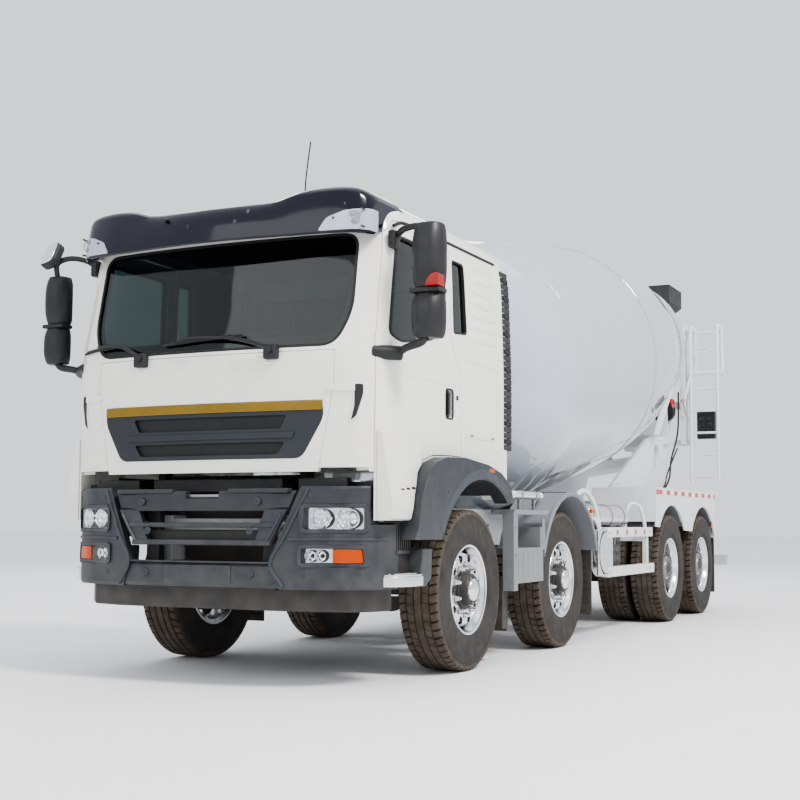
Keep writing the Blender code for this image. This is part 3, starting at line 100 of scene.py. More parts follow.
def mixed(tree, share, first, second):
    node = tree.nodes.new("ShaderNodeMix")
    node.data_type = "RGBA"
    tree.links.new(share, node.inputs["Factor"])
    for slot, colour in ((6, first), (7, second)):
        if isinstance(colour, tuple):
            node.inputs[slot].default_value = (*colour, 1.0)
        else:
            tree.links.new(colour, node.inputs[slot])
    return node.outputs[2]


def times(tree, first, second):
    node = tree.nodes.new("ShaderNodeMath")
    node.operation = "MULTIPLY"
    node.use_clamp = True
    tree.links.new(first, node.inputs[0])
    if isinstance(second, float):
        node.inputs[1].default_value = second
    else:
        tree.links.new(second, node.inputs[1])
    return node.outputs[0]


def finish(name, colour, rough, metallic=0.0, coat=0.0, tint=0.04, tint_scale=3.0, rough_vary=0.06,
           rough_scale=18.0, grain=0.0, grain_scale=350.0, dust=0.0, dust_top=1.2, dust_low=0.2,
           dust_colour=(0.30, 0.25, 0.19), stretch=None, wear=0.0, wear_colour=(0.4, 0.4, 0.4)):
    """A surface with uneven tone and gloss, a fine relief, dust that thins with height and worn edges."""
    made = bpy.data.materials.new(name)
    made.use_nodes = True
    tree = made.node_tree
    shader = tree.nodes["Principled BSDF"]
    place = tree.nodes.new("ShaderNodeTexCoord").outputs["Object"]
    broad = noise_of(tree, place, tint_scale, 5.0, stretch)
    dark = tuple(channel * (1 - tint) for channel in colour)
    light = tuple(min(channel * (1 + tint), 1.0) for channel in colour)
    tone = mixed(tree, mapped(tree, broad, 0.3, 0.7, 0.0, 1.0), dark, light)
    fine = noise_of(tree, place, rough_scale, 6.0, stretch)
    gloss = mapped(tree, fine, 0.3, 0.7, max(rough - rough_vary, 0.02), min(rough + rough_vary, 1.0))
    if wear:
        pointy = tree.nodes.new("ShaderNodeNewGeometry").outputs["Pointiness"]
        edge = mapped(tree, pointy, 0.52, 0.60, 0.0, wear)
        tone = mixed(tree, times(tree, edge, fine), tone, wear_colour)
    if dust:
        split = tree.nodes.new("ShaderNodeSeparateXYZ")
        tree.links.new(place, split.inputs[0])
        height = mapped(tree, split.outputs["Z"], dust_low, dust_top, 1.0, 0.0)
        speck = mapped(tree, noise_of(tree, place, 9.0, 8.0), 0.35, 0.75, 0.25, 1.0)
        share = times(tree, times(tree, height, speck), float(dust))
        tone = mixed(tree, share, tone, dust_colour)
    tree.links.new(tone, shader.inputs["Base Color"])
    tree.links.new(gloss, shader.inputs["Roughness"])
    shader.inputs["Metallic"].default_value = metallic
    shader.inputs["Coat Weight"].default_value = coat
    shader.inputs["Coat Roughness"].default_value = 0.06
    if grain:
        bump = tree.nodes.new("ShaderNodeBump")
        bump.inputs["Strength"].default_value = 1.0
        bump.inputs["Distance"].default_value = grain
        tree.links.new(noise_of(tree, place, grain_scale, 3.0, stretch), bump.inputs["Height"])
        tree.links.new(bump.outputs["Normal"], shader.inputs["Normal"])
    return made


def glass(name, colour, rough=0.02, weight=1.0, streak=0.02):
    made = finish(name, colour, rough, tint=0.05, rough_vary=streak, rough_scale=4.0)
    shader = made.node_tree.nodes["Principled BSDF"]
    shader.inputs["Transmission Weight"].default_value = weight
    shader.inputs["IOR"].default_value = 1.45
    return made


def striped(name, first, second, rough, pitch, axis="Y"):
    """Bars of two colours along one axis, as on reflecting tape."""
    made = finish(name, first, rough, tint=0.03)
    tree = made.node_tree
    shader = tree.nodes["Principled BSDF"]
    tone = shader.inputs["Base Color"].links[0].from_socket
    split = tree.nodes.new("ShaderNodeSeparateXYZ")
    place = [node for node in tree.nodes if node.type == "TEX_COORD"][0].outputs["Object"]
    tree.links.new(place, split.inputs[0])
    wave = tree.nodes.new("ShaderNodeMath")
    wave.operation = "PINGPONG"
    tree.links.new(split.outputs[axis], wave.inputs[0])
    wave.inputs[1].default_value = pitch
    step = mapped(tree, wave.outputs[0], pitch * 0.49, pitch * 0.51, 0.0, 1.0)
    tree.links.new(mixed(tree, step, tone, second), shader.inputs["Base Color"])
    return made


def woven(name, colour, scale):
    """A cloth of crossing threads."""
    made = finish(name, colour, 0.9, tint=0.15, tint_scale=30.0)
    tree = made.node_tree
    shader = tree.nodes["Principled BSDF"]
    place = [node for node in tree.nodes if node.type == "TEX_COORD"][0].outputs["Object"]
    heights = []
    for turn in (0.0, pi / 2):
        mapping = tree.nodes.new("ShaderNodeMapping")
        mapping.inputs["Rotation"].default_value = (turn, turn, pi / 4 + turn)
        tree.links.new(place, mapping.inputs["Vector"])
        wave = tree.nodes.new("ShaderNodeTexWave")
        wave.inputs["Scale"].default_value = scale
        wave.inputs["Distortion"].default_value = 0.4
        tree.links.new(mapping.outputs["Vector"], wave.inputs["Vector"])
        heights.append(wave.outputs["Fac"])
    bump = tree.nodes.new("ShaderNodeBump")
    bump.inputs["Distance"].default_value = 0.0012
    tree.links.new(times(tree, heights[0], heights[1]), bump.inputs["Height"])
    tree.links.new(bump.outputs["Normal"], shader.inputs["Normal"])
    shader.inputs["Sheen Weight"].default_value = 0.3
    return made


M = {
    "cab": finish("cab_paint", (0.86, 0.85, 0.80), 0.24, coat=0.7, tint=0.015, rough_vary=0.03,
                  grain=0.00004, grain_scale=260.0, dust=0.25, dust_top=1.7, dust_low=0.9),
    "white": finish("steel_white", (0.80, 0.82, 0.83), 0.38, coat=0.3, tint=0.03, rough_vary=0.08,
                    grain=0.00015, grain_scale=120.0, dust=0.45, dust_top=1.5, dust_low=0.2,
                    wear=0.25, wear_colour=(0.45, 0.42, 0.38)),
    "drum": finish("drum_paint", (0.46, 0.50, 0.56), 0.14, coat=1.0, tint=0.02, tint_scale=1.2,
                   rough_vary=0.05, rough_scale=3.0, grain=0.0006, grain_scale=2.2),
    "slate": finish("slate_plastic", (0.0185, 0.0225, 0.029), 0.46, tint=0.12, tint_scale=2.0,
                    rough_vary=0.08, grain=0.00025, grain_scale=520.0, dust=0.35, dust_top=1.5,
                    dust_low=0.4, dust_colour=(0.20, 0.19, 0.18), wear=0.2,
                    wear_colour=(0.16, 0.17, 0.19)),
    # painted highlight: a lighter copy of the slate plastic, put on raised rims, lips, screw rings and a
    # groove where they would catch light
    "slate_highlight": finish("slate_painted_highlight", (0.036, 0.043, 0.054), 0.42, tint=0.08, grain=0.0002,
                          grain_scale=500.0),
    "navy": finish("visor_navy", (0.0035, 0.004, 0.013), 0.14, coat=0.35, tint=0.1, rough_vary=0.03,
                   grain=0.00003, grain_scale=200.0),
    "grey": finish("guard_grey", (0.20, 0.215, 0.235), 0.46, tint=0.06, grain=0.0002,
                   grain_scale=400.0, dust=0.4, dust_top=1.3),
    "black": finish("black_plastic", (0.018, 0.018, 0.020), 0.48, tint=0.15, rough_vary=0.1,
                    grain=0.0002, grain_scale=450.0, dust=0.25, dust_top=1.4),
    "gloss_black": finish("black_gloss", (0.010, 0.010, 0.012), 0.12, coat=0.6, rough_vary=0.04),
    "rubber": finish("black_rubber", (0.022, 0.022, 0.022), 0.75, tint=0.2, grain=0.0003,
                     grain_scale=300.0, dust=0.35, dust_top=1.0),
    "tyre": finish("tyre_rubber", (0.040, 0.036, 0.033), 0.82, tint=0.25, tint_scale=8.0,
                   rough_vary=0.1, grain=0.0004, grain_scale=420.0),
    "tread": finish("tread_rubber", (0.085, 0.067, 0.052), 0.92, tint=0.3, tint_scale=14.0,
                    rough_vary=0.06, grain=0.0006, grain_scale=260.0),
    "alloy": finish("polished_alloy", (0.80, 0.81, 0.83), 0.20, metallic=1.0, tint=0.05,
                    rough_vary=0.07, rough_scale=40.0, grain=0.00005, grain_scale=500.0),
    "chrome": finish("chrome", (0.88, 0.89, 0.90), 0.06, metallic=1.0, tint=0.03, rough_vary=0.04),
    "tank": finish("tank_aluminium", (0.78, 0.79, 0.80), 0.24, metallic=1.0, tint=0.05,
                   rough_vary=0.09, grain=0.0001, grain_scale=220.0, stretch=(1.0, 0.05, 1.0),
                   dust=0.25, dust_top=1.1),
    "cast": finish("cast_iron", (0.035, 0.035, 0.038), 0.62, metallic=0.5, tint=0.3, grain=0.0010,
                   grain_scale=120.0, dust=0.6, dust_top=1.2),
    "steel": finish("dull_steel", (0.36, 0.36, 0.37), 0.42, metallic=1.0, tint=0.15,
                    rough_vary=0.12, grain=0.0002, grain_scale=150.0, dust=0.3),
    "frame": finish("frame_steel", (0.62, 0.64, 0.66), 0.45, tint=0.05, rough_vary=0.1,
                    grain=0.0003, grain_scale=150.0, dust=0.6, dust_top=1.4),
    "gold": finish("gold_trim", (0.34, 0.22, 0.055), 0.22, metallic=1.0, tint=0.06, rough_vary=0.06),
    "red": finish("red_paint", (0.50, 0.012, 0.018), 0.30, coat=0.5, tint=0.08, rough_vary=0.08),
    "hopper": finish("hopper_rubber", (0.020, 0.021, 0.023), 0.62, tint=0.25, rough_vary=0.12,
                     grain=0.0008, grain_scale=60.0, dust=0.3, dust_top=4.2, dust_low=3.0,
                     dust_colour=(0.3, 0.3, 0.3)),
    "fabric": woven("seat_cloth", (0.075, 0.078, 0.088), 260.0),
    "seat_side": finish("seat_leatherette", (0.06, 0.06, 0.065), 0.55, tint=0.1, grain=0.0005,
                        grain_scale=220.0),
    "trim": finish("cab_trim", (0.022, 0.021, 0.022), 0.7, tint=0.1, grain=0.0004, grain_scale=300.0),
    # part real tint, part painted shade: the glass is tinted dark so that the cab's interior looks shaded
    # through it
    "glass": glass("cab_glass_painted_shade", (0.17, 0.23, 0.225)),
    "visor_lamp": finish("visor_lamp_panel", (0.44, 0.45, 0.55), 0.14, coat=0.6, tint=0.05,
                         rough_vary=0.04),
    "lens": glass("lamp_lens", (0.93, 0.95, 0.97)),
    "amber": glass("amber_lens", (0.62, 0.085, 0.004), 0.08, 0.3),
    "red_lens": glass("red_lens", (0.42, 0.010, 0.008), 0.10, 0.3),
    "lamp": finish("lamp_reflector", (0.90, 0.91, 0.93), 0.07, metallic=1.0, tint=0.02, rough_vary=0.03),
    "mirror": finish("mirror_glass", (0.85, 0.88, 0.90), 0.03, metallic=1.0, tint=0.02,
                     rough_vary=0.01),
    "tape": striped("marker_tape", (0.85, 0.86, 0.86), (0.62, 0.02, 0.03), 0.30, 0.15),
    "plate": finish("blank_plate", (0.80, 0.80, 0.76), 0.4, tint=0.03),
}
M["navy"].node_tree.nodes["Principled BSDF"].inputs["Specular IOR Level"].default_value = 0.3


# ------------------------------------------------------------------ shapes

def centred(outline):
    """The same plane outline, running anticlockwise."""
    total = 0.0
    for first, second in zip(outline, outline[1:] + outline[:1]):
        total += first[0] * second[1] - second[0] * first[1]
    return list(outline) if total > 0 else list(reversed(outline))


def arc(centre, radius, start, end, steps):
    points = []
    for step in range(steps + 1):
        angle = radians(start + (end - start) * step / steps)
        points.append((centre[0] + radius * cos(angle), centre[1] + radius * sin(angle)))
    return points


def smooth_path(points, steps=6, closed=False):
    """A curve through the points, evenly parted between each pair of them."""
    points = [Vector(point) for point in points]
    count = len(points)
    made = []
    last = count if closed else count - 1
    for index in range(last):
        here, there = points[index], points[(index + 1) % count]
        before = points[index - 1] if index or closed else here * 2 - there
        after = points[(index + 2) % count] if index + 2 < count or closed else there * 2 - here
        for step in range(steps):
            t = step / steps
            made.append(0.5 * ((2 * here) + (there - before) * t
                               + (2 * before - 5 * here + 4 * there - after) * t * t
                               + (3 * here - before - 3 * there + after) * t ** 3))
    if not closed:
        made.append(points[-1])
    return made


def rounded(outline, radius, steps=4):
    """A plane outline with its corners rounded off."""
    made = []
    count = len(outline)
    for index in range(count):
        before = Vector(outline[index - 1])
        here = Vector(outline[index])
        after = Vector(outline[(index + 1) % count])
        first = before - here
        second = after - here
        reach = min(radius, first.length * 0.45, second.length * 0.45)
        start = here + first.normalized() * reach
        end = here + second.normalized() * reach
        for step in range(steps + 1):
            t = step / steps
            point = start * (1 - t) ** 2 + here * 2 * t * (1 - t) + end * t * t
            made.append((point.x, point.y))
    return made


def strip(bm, one, two, closed=True):
    """Faces between two rows of vertices that have as many each."""
    count = len(one)
    for index in range(count if closed else count - 1):
        after = (index + 1) % count
        bm.faces.new((one[index], one[after], two[after], two[index]))


def loft(bm, rings):
    """Faces from ring to ring, with both ends closed."""
    for one, two in zip(rings, rings[1:]):
        strip(bm, one, two)
    bm.faces.new(list(reversed(rings[0])))
    bm.faces.new(rings[-1])


def loose(bm, name):
    """A plain object that isn't a piece of the scene, for use in booleans."""
    mesh = bpy.data.meshes.new(name)
    bm.to_mesh(mesh)
    bm.free()
    made = bpy.data.objects.new(name, mesh)
    bpy.context.scene.collection.objects.link(made)
    return made


def lofted(bm, rings, name):
    """A plain closed object through rings of vertices."""
    loft(bm, rings)
    bmesh.ops.triangulate(bm, faces=bm.faces)
    bmesh.ops.recalc_face_normals(bm, faces=bm.faces)
    return loose(bm, name)


class Shape:
    """Collects solids into one piece of the scene."""

    def __init__(self, side=1):
        self.bm = bmesh.new()
        self.materials = []
        self.side = side

    def take(self, bm, material, bevel=0.0, segments=2, move=None):
        if bevel:
            sharp = []
            for edge in bm.edges:
                if len(edge.link_faces) == 2 and edge.calc_face_angle(0.0) > radians(28):
                    sharp.append(edge)
            bmesh.ops.bevel(bm, geom=sharp, offset=bevel, segments=segments, profile=0.5,
                            affect="EDGES", clamp_overlap=True)
        if move is not None:
            bmesh.ops.transform(bm, matrix=move, verts=bm.verts)
        if material not in self.materials:
            self.materials.append(material)
        for face in bm.faces:
            face.material_index = self.materials.index(material)
            face.smooth = True
        mesh = bpy.data.meshes.new("part")
        bm.to_mesh(mesh)
        bm.free()
        self.bm.from_mesh(mesh)
        bpy.data.meshes.remove(mesh)

    def box(self, low, high, material, bevel=0.004, segments=2, move=None):
        bm = bmesh.new()
        bmesh.ops.create_cube(bm, size=1.0)
        for vertex in bm.verts:
            for axis in range(3):
                vertex.co[axis] = high[axis] if vertex.co[axis] > 0 else low[axis]
        self.take(bm, material, bevel, segments, move)

    def prism(self, outline, axis, low, high, material, bevel=0.0, segments=2, move=None):
        others = [other for other in range(3) if other != axis]
        bm = bmesh.new()
        rings = []
        for level in (low, high):
            ring = []
            for point in outline:
                place = [0.0, 0.0, 0.0]
                place[others[0]], place[others[1]] = point[0], point[1]
                place[axis] = level
                ring.append(bm.verts.new(place))
            rings.append(ring)
        count = len(outline)
        bm.faces.new(rings[0])
        bm.faces.new(list(reversed(rings[1])))
        for index in range(count):
            after = (index + 1) % count
            bm.faces.new((rings[0][after], rings[0][index], rings[1][index], rings[1][after]))
        bmesh.ops.recalc_face_normals(bm, faces=bm.faces)
        self.take(bm, material, bevel, segments, move)

    def lathe(self, profile, centre, material, axis=(1, 0, 0), steps=48, closed=True):
        """Spin a profile of (along, radius) points round an axis through the centre."""
        turn = Vector(axis).to_track_quat("X", "Z").to_matrix().to_4x4()
        move = Matrix.Translation(centre) @ turn
        bm = bmesh.new()
        rings = []
        for step in range(steps):
            angle = 2 * pi * step / steps
            rings.append([bm.verts.new((along, radius * sin(angle), radius * cos(angle)))
                          for along, radius in profile])
        for step in range(steps):
            strip(bm, rings[step], rings[(step + 1) % steps], closed)
        bmesh.ops.remove_doubles(bm, verts=bm.verts, dist=1e-6)
        bmesh.ops.recalc_face_normals(bm, faces=bm.faces)
        self.take(bm, material, move=move)

    def tube(self, points, radius, material, sides=12, steps=6, straight=False):
        """A round bar along a smooth path, with rounded ends."""
        path = [Vector(p) for p in points] if straight else smooth_path(points, steps)
        bm = bmesh.new()
        tangent = (path[1] - path[0]).normalized()
        across = tangent.orthogonal().normalized()
        rings = []
        for index, point in enumerate(path):
            before = path[max(index - 1, 0)]
            after = path[min(index + 1, len(path) - 1)]
            heading = (after - before).normalized()
            across = (across - heading * across.dot(heading)).normalized()
            other = heading.cross(across)
            half = 1.0
            if 0 < index < len(path) - 1:
                bend = (point - before).normalized().dot((after - point).normalized())
                half = 1.0 / max(sqrt((1 + min(bend, 1.0)) / 2), 0.5)
            ring = []
            for side in range(sides):
                angle = 2 * pi * side / sides
                reach = across * cos(angle) + other * sin(angle)
                ring.append(bm.verts.new(point + reach * radius * (half if straight else 1.0)))
            rings.append(ring)
        for one, two in zip(rings, rings[1:]):
            strip(bm, one, two)
        for ring, end in ((rings[0], path[0] - (path[1] - path[0]).normalized() * radius * 0.4),
                          (rings[-1], path[-1] + (path[-1] - path[-2]).normalized() * radius * 0.4)):
            tip = bm.verts.new(end)
            for side in range(sides):
                bm.faces.new((ring[side], ring[(side + 1) % sides], tip))
        bmesh.ops.recalc_face_normals(bm, faces=bm.faces)
        self.take(bm, material)

    def rod(self, start, end, radius, material, sides=20, bevel=0.0):
        start, end = Vector(start), Vector(end)
        along = end - start
        bm = bmesh.new()
        bmesh.ops.create_cone(bm, cap_ends=True, segments=sides, radius1=radius, radius2=radius,
                              depth=along.length)
        move = Matrix.Translation((start + end) / 2) @ along.to_track_quat("Z", "Y").to_matrix().to_4x4()
        self.take(bm, material, bevel or min(radius, along.length) * 0.12, 2, move)

    def mesh_of(self, source, material, bevel=0.0, segments=2):
        """Take in another object's mesh, with its modifiers, and remove that object."""
        graph = bpy.context.evaluated_depsgraph_get()
        mesh = bpy.data.meshes.new_from_object(source.evaluated_get(graph))
        bm = bmesh.new()
        bm.from_mesh(mesh)
        bpy.data.meshes.remove(mesh)
        bpy.data.objects.remove(source, do_unlink=True)
        self.take(bm, material, bevel, segments)

    def node(self, name, material, bevel=0.004, segments=2):
        """Take in a CAD node's shape with its flats cleaned up and its edges rounded."""
        bm = bmesh.new()
        bm.from_mesh(NODES[name].data)
        bmesh.ops.translate(bm, vec=(0, MID, 0), verts=bm.verts)
        if self.side < 0:
            bmesh.ops.scale(bm, vec=(-1, 1, 1), verts=bm.verts)
        bmesh.ops.remove_doubles(bm, verts=bm.verts, dist=2e-5)
        bmesh.ops.dissolve_limit(bm, angle_limit=radians(0.6), verts=bm.verts, edges=bm.edges)
        bmesh.ops.recalc_face_normals(bm, faces=bm.faces)
        self.take(bm, material, bevel, segments)

    def finish(self, name, body, slot=None, replaces=(), sharp=40.0, weighted=True):
        bm = self.bm
        if self.side < 0:
            bmesh.ops.scale(bm, vec=(-1, 1, 1), verts=bm.verts)
            bmesh.ops.reverse_faces(bm, faces=bm.faces)
        bmesh.ops.translate(bm, vec=(0, -MID, 0), verts=bm.verts)
        mesh = bpy.data.meshes.new(name)
        bm.to_mesh(mesh)
        bm.free()
        mesh.set_sharp_from_angle(angle=radians(sharp))
        for material in self.materials:
            mesh.materials.append(M[material])
        made = bpy.data.objects.new(name, mesh)
        bpy.context.scene.collection.objects.link(made)
        if weighted:
            even = made.modifiers.new("even", "WEIGHTED_NORMAL")
            even.keep_sharp = True
            even.weight = 80
        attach(made, body)
        if replaces:
            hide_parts(*replaces)
        return made


def solid(shape_call):
    """A plain object, for use as the tool of a boolean."""
    shape = Shape()
    shape_call(shape)
    return loose(shape.bm, "tool")


def carve(base, tools, operation="DIFFERENCE"):
    """Cut the tools from the base, or keep only what they share; the tools are used up."""
    for tool in tools:
        modifier = base.modifiers.new("carve", "BOOLEAN")
        modifier.operation = operation
        modifier.solver = "EXACT"
        modifier.object = tool
    graph = bpy.context.evaluated_depsgraph_get()
    mesh = bpy.data.meshes.new_from_object(base.evaluated_get(graph))
    base.modifiers.clear()
    base.data = mesh
    for tool in tools:
        bpy.data.objects.remove(tool, do_unlink=True)
    return base


# ------------------------------------------------------------------ wheels

WHEEL_Z = 0.53538
TYRE_R = 0.5345
TREAD_PITCHES = 56
TREAD_EDGE = 0.495
SINGLE_X = 1.01
TWIN_X = 1.085


def round_hub(count, radius, y, turn=0.0):
    """Places as (y, z), evenly round a wheel's axis."""
    for index in range(count):
        angle = 2 * pi * index / count + turn
        yield (y + radius * sin(angle), WHEEL_Z + radius * cos(angle))


def tyre(shape, x, y):
    """A truck tyre: ribbed tread cut across at the shoulders, bulging walls and a bead ring."""
    wall = [(0.118, 0.288), (0.130, 0.300), (0.139, 0.325), (0.1455, 0.335), (0.1475, 0.342),
            (0.1500, 0.375), (0.1500, 0.415), (0.1475, 0.450), (0.1430, 0.475), (0.1450, 0.480),
            (0.1430, 0.4865), (0.1385, 0.500)]
    outer = [(0.1370, 0.512), (0.1345, 0.524), (0.126, 0.5315)]
    rib = [(0.086, 0.5340), (0.083, 0.5240), (0.076, 0.5240), (0.073, 0.5345), (0.034, TYRE_R),
           (0.031, 0.5235), (0.024, 0.5235), (0.021, TYRE_R)]
    half = wall + outer + rib
    profile = half + [(-along, radius) for along, radius in reversed(half)]
    count = len(profile)
    first_tread = len(wall)
    last_tread = count - len(wall)
    bm = bmesh.new()
    rings = []
    steps = TREAD_PITCHES * 4
    for step in range(steps):
        phase = step % 4
        pitch = step // 4
        share = (0.0, 0.74, 0.80, 0.94)[phase]
        angle = 2 * pi * (pitch + share) / TREAD_PITCHES
        ring = []
        for index, (along, radius) in enumerate(profile):
            turn = angle
            low = radius
            if first_tread <= index < last_tread:
                offset = abs(along)
                if phase in (2, 3) and offset > 0.075:
                    low = min(radius, 0.5155)
                elif phase in (2, 3) and 0.033 < offset < 0.074:
                    low = min(radius, 0.5290)
                turn += 0.010 * sin(along * 60) + (0.012 if along > 0 else -0.012) * (offset < 0.075)
            ring.append(bm.verts.new((along, low * sin(turn), low * cos(turn))))
        rings.append(ring)
    for step in range(steps):
        strip(bm, rings[step], rings[(step + 1) % steps], False)
    for ring_index in range(steps):
        one, two = rings[ring_index], rings[(ring_index + 1) % steps]
        bm.faces.new((one[count - 1], one[0], two[0], two[count - 1]))
    bmesh.ops.recalc_face_normals(bm, faces=bm.faces)
    walls = bm.copy()
    bmesh.ops.delete(bm, geom=[f for f in bm.faces
                               if f.calc_center_median().yz.length <= TREAD_EDGE], context="FACES")
    bmesh.ops.delete(walls, geom=[f for f in walls.faces
                                  if f.calc_center_median().yz.length > TREAD_EDGE], context="FACES")
    move = Matrix.Translation((x, y, WHEEL_Z))
    shape.take(bm, "tread", move=move)
    shape.take(walls, "tyre", move=move)


def wheel_disc(shape, x, y, bow):
    """Rim barrel with rounded flanges, and the disc with ten hand holes, bowed by the given depth."""
    flange = [(0.118, 0.288), (0.122, 0.2985), (0.128, 0.3015), (0.133, 0.2985), (0.134, 0.290),
              (0.130, 0.283), (0.112, 0.279), (0.095, 0.268), (0.070, 0.262), (-0.06, 0.255),
              (-0.118, 0.262), (-0.132, 0.285), (-0.130, 0.300), (-0.122, 0.2985), (-0.118, 0.288)]
    shape.lathe(flange, (x, y, WHEEL_Z), "alloy", steps=64)
    root = 0.02
    face = root + bow
    disc = [(root, 0.2585), (root + 0.25 * bow, 0.256), (root + 0.62 * bow, 0.248), (face - 0.012, 0.2385),
            (face, 0.2260), (face + 0.002, 0.205), (face, 0.188), (face, 0.138), (face - 0.004, 0.134),
            (face - 0.02, 0.134), (face - 0.022, 0.2), (root + 0.55 * bow - 0.02, 0.236),
            (root - 0.016, 0.2585)]
    holes = []
    for spot in round_hub(10, 0.212, y, pi / 10):
        holes.append(solid(lambda s, p=spot: s.rod((x - 0.2, *p), (x + 0.25, *p), 0.027, "alloy", 24)))
    plain = solid(lambda s: s.lathe(disc, (x, y, WHEEL_Z), "alloy", steps=80))
    shape.mesh_of(carve(plain, holes), "alloy", 0.0035, 2)
    for spot in round_hub(10, 0.1675, y):
        shape.rod((x + face - 0.004, *spot), (x + face + 0.007, *spot), 0.0235, "steel", 20, 0.002)
        shape.rod((x + face + 0.004, *spot), (x + face + 0.030, *spot), 0.0165, "chrome", 6, 0.003)
        shape.rod((x + face + 0.020, *spot), (x + face + 0.044, *spot), 0.0110, "chrome", 16, 0.004)
    return face


def front_hub(shape, x, y, face):
    """Black hub drum with a bright cap and small bolts."""
    shape.lathe([(face - 0.06, 0.0), (face - 0.06, 0.133), (face + 0.010, 0.133), (face + 0.014, 0.129),
                 (face + 0.016, 0.112), (face + 0.050, 0.106), (face + 0.060, 0.098),
                 (face + 0.062, 0.082), (face + 0.055, 0.078), (face + 0.055, 0.0)],
                (x, y, WHEEL_Z), "black", steps=40)
    shape.lathe([(face + 0.050, 0.0), (face + 0.050, 0.079), (face + 0.068, 0.076), (face + 0.078, 0.066),
                 (face + 0.083, 0.045), (face + 0.085, 0.0)], (x, y, WHEEL_Z), "alloy", steps=40)
    for spot in round_hub(8, 0.089, y, 0.2):
        shape.rod((x + face + 0.055, *spot), (x + face + 0.068, *spot), 0.007, "steel", 6)


def rear_hub(shape, x, y, face):
    """Driven hub that stands out of the recessed disc, with its ring of shaft bolts."""
    shape.lathe([(face - 0.03, 0.0), (face - 0.03, 0.133), (face + 0.06, 0.131), (face + 0.10, 0.122),
                 (face + 0.125, 0.118), (face + 0.130, 0.112), (face + 0.130, 0.098),
                 (face + 0.142, 0.094), (face + 0.144, 0.0)], (x, y, WHEEL_Z), "steel", steps=40)
    shape.lathe([(face + 0.143, 0.0), (face + 0.143, 0.055), (face + 0.152, 0.050),
                 (face + 0.154, 0.0)], (x, y, WHEEL_Z), "cast", steps=32)
    for spot in round_hub(10, 0.078, y, 0.1):
        shape.rod((x + face + 0.140, *spot), (x + face + 0.156, *spot), 0.009, "steel", 6)


def valve(shape, x, y, face):
    """Bent valve stem through the disc."""
    shape.tube([(x + face + 0.002, y + 0.03, WHEEL_Z + 0.236), (x + face + 0.02, y + 0.032, WHEEL_Z + 0.232),
                (x + face + 0.045, y + 0.034, WHEEL_Z + 0.222)], 0.004, "steel", 8)


def twin_of(source, name, body, replaced, x_turn, move):
    """A further wheel that shares the mesh of a finished one, mirrored when x_turn is -1."""
    mesh = source.data
    if x_turn < 0:
        mesh = bpy.data.meshes.get(source.data.name + "_mirrored")
        if mesh is None:
            mesh = source.data.copy()
            mesh.name = source.data.name + "_mirrored"
            mesh.transform(Matrix.Scale(-1, 4, (1, 0, 0)))
            mesh.flip_normals()
    made = bpy.data.objects.new(name, mesh)
    bpy.context.scene.collection.objects.link(made)
    made.location = move
    even = made.modifiers.new("even", "WEIGHTED_NORMAL")
    even.keep_sharp = True
    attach(made, body)
    if replaced:
        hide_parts(*replaced)
    return made


def wheels():
    """Four steered wheels, and four pairs of twin tyres on discs that are bowed inwards."""
    rubber = Shape()
    tyre(rubber, SINGLE_X, 0.0)
    first = rubber.finish("tread_1_left", "wheel_1_left", "tyre_rubber", ("tyre_1_left",), 32)
    metal = Shape()
    face = wheel_disc(metal, SINGLE_X, 0.0, 0.078)
    front_hub(metal, SINGLE_X, 0.0, face)
    valve(metal, SINGLE_X, 0.0, face)
    disc = metal.finish("disc_1_left", "wheel_1_left", "alloy", ("rim_1_left",), 38)
    for number in (1, 2):
        y = AXLE_Y[number]
        for name, side in SIDES:
            if (number, side) == (1, 1):
                continue
            body = f"wheel_{number}_{name}"
            made = twin_of(first, f"tread_{number}_{name}", body, (f"tyre_{number}_{name}",), side,
                           (0, y, 0))
            made = twin_of(disc, f"disc_{number}_{name}", body, (f"rim_{number}_{name}",), side,
                           (0, y, 0))
    metal = Shape()
    face = wheel_disc(metal, TWIN_X, 0.0, -0.055)
    rear_hub(metal, TWIN_X, 0.0, face)
    metal.lathe([(-0.21, 0.262), (-0.20, 0.285), (-0.212, 0.300), (-0.220, 0.300), (-0.2245, 0.286),
                 (-0.235, 0.258), (-0.46, 0.258), (-0.475, 0.298), (-0.462, 0.298), (-0.455, 0.288),
                 (-0.44, 0.262)], (TWIN_X, 0.0, WHEEL_Z), "alloy", steps=64)
    metal.lathe([(-0.26, 0.0), (-0.26, 0.10), (-0.13, 0.13), (-0.13, 0.26), (-0.26, 0.26),
                 (-0.30, 0.22), (-0.30, 0.0)], (TWIN_X, 0.0, WHEEL_Z), "cast", steps=40)
    rear = metal.finish("disc_3_left", "wheel_3_left", "alloy", (), 38)
    rear.location.y = AXLE_Y[3]
    for number in (3, 4):
        y = AXLE_Y[number]
        for name, side in SIDES:
            body = f"wheel_{number}_{name}"
            if (number, side) != (3, 1):
                made = twin_of(rear, f"disc_{number}_{name}", body, (), side, (0, y, 0))
            for place, offset in (("outer", 0.075), ("inner", -0.265)):
                replaced = (f"twin_wheel_{number}_{name}",) if place == "outer" else ()
                made = twin_of(first, f"tread_{number}_{name}_{place}", body, replaced, side,
                               (side * offset, y, 0))


wheels()


# ------------------------------------------------------------------ drum

DRUM_TILT = radians(9.95)
DRUM_PLACE = Matrix.Translation((0.0, 1.199, 2.044)) @ Matrix.Rotation(DRUM_TILT, 4, "X")


def drum_point(x, s, h):
    """A place in the truck from one across, along and above the drum's axis."""
    return DRUM_PLACE @ Vector((x, s, h))


def drum_radius(s):
    """Outer radius of the drum's skin, for the pieces that sit on it."""
    knots = [(1.10, 1.20), (3.45, 1.20), (4.50, 1.119), (5.40, 0.953), (6.10, 0.782), (6.80, 0.622)]
    for (s0, r0), (s1, r1) in zip(knots, knots[1:]):
        if s0 <= s <= s1:
            return r0 + (r1 - r0) * (s - s0) / (s1 - s0)
    return 0.6


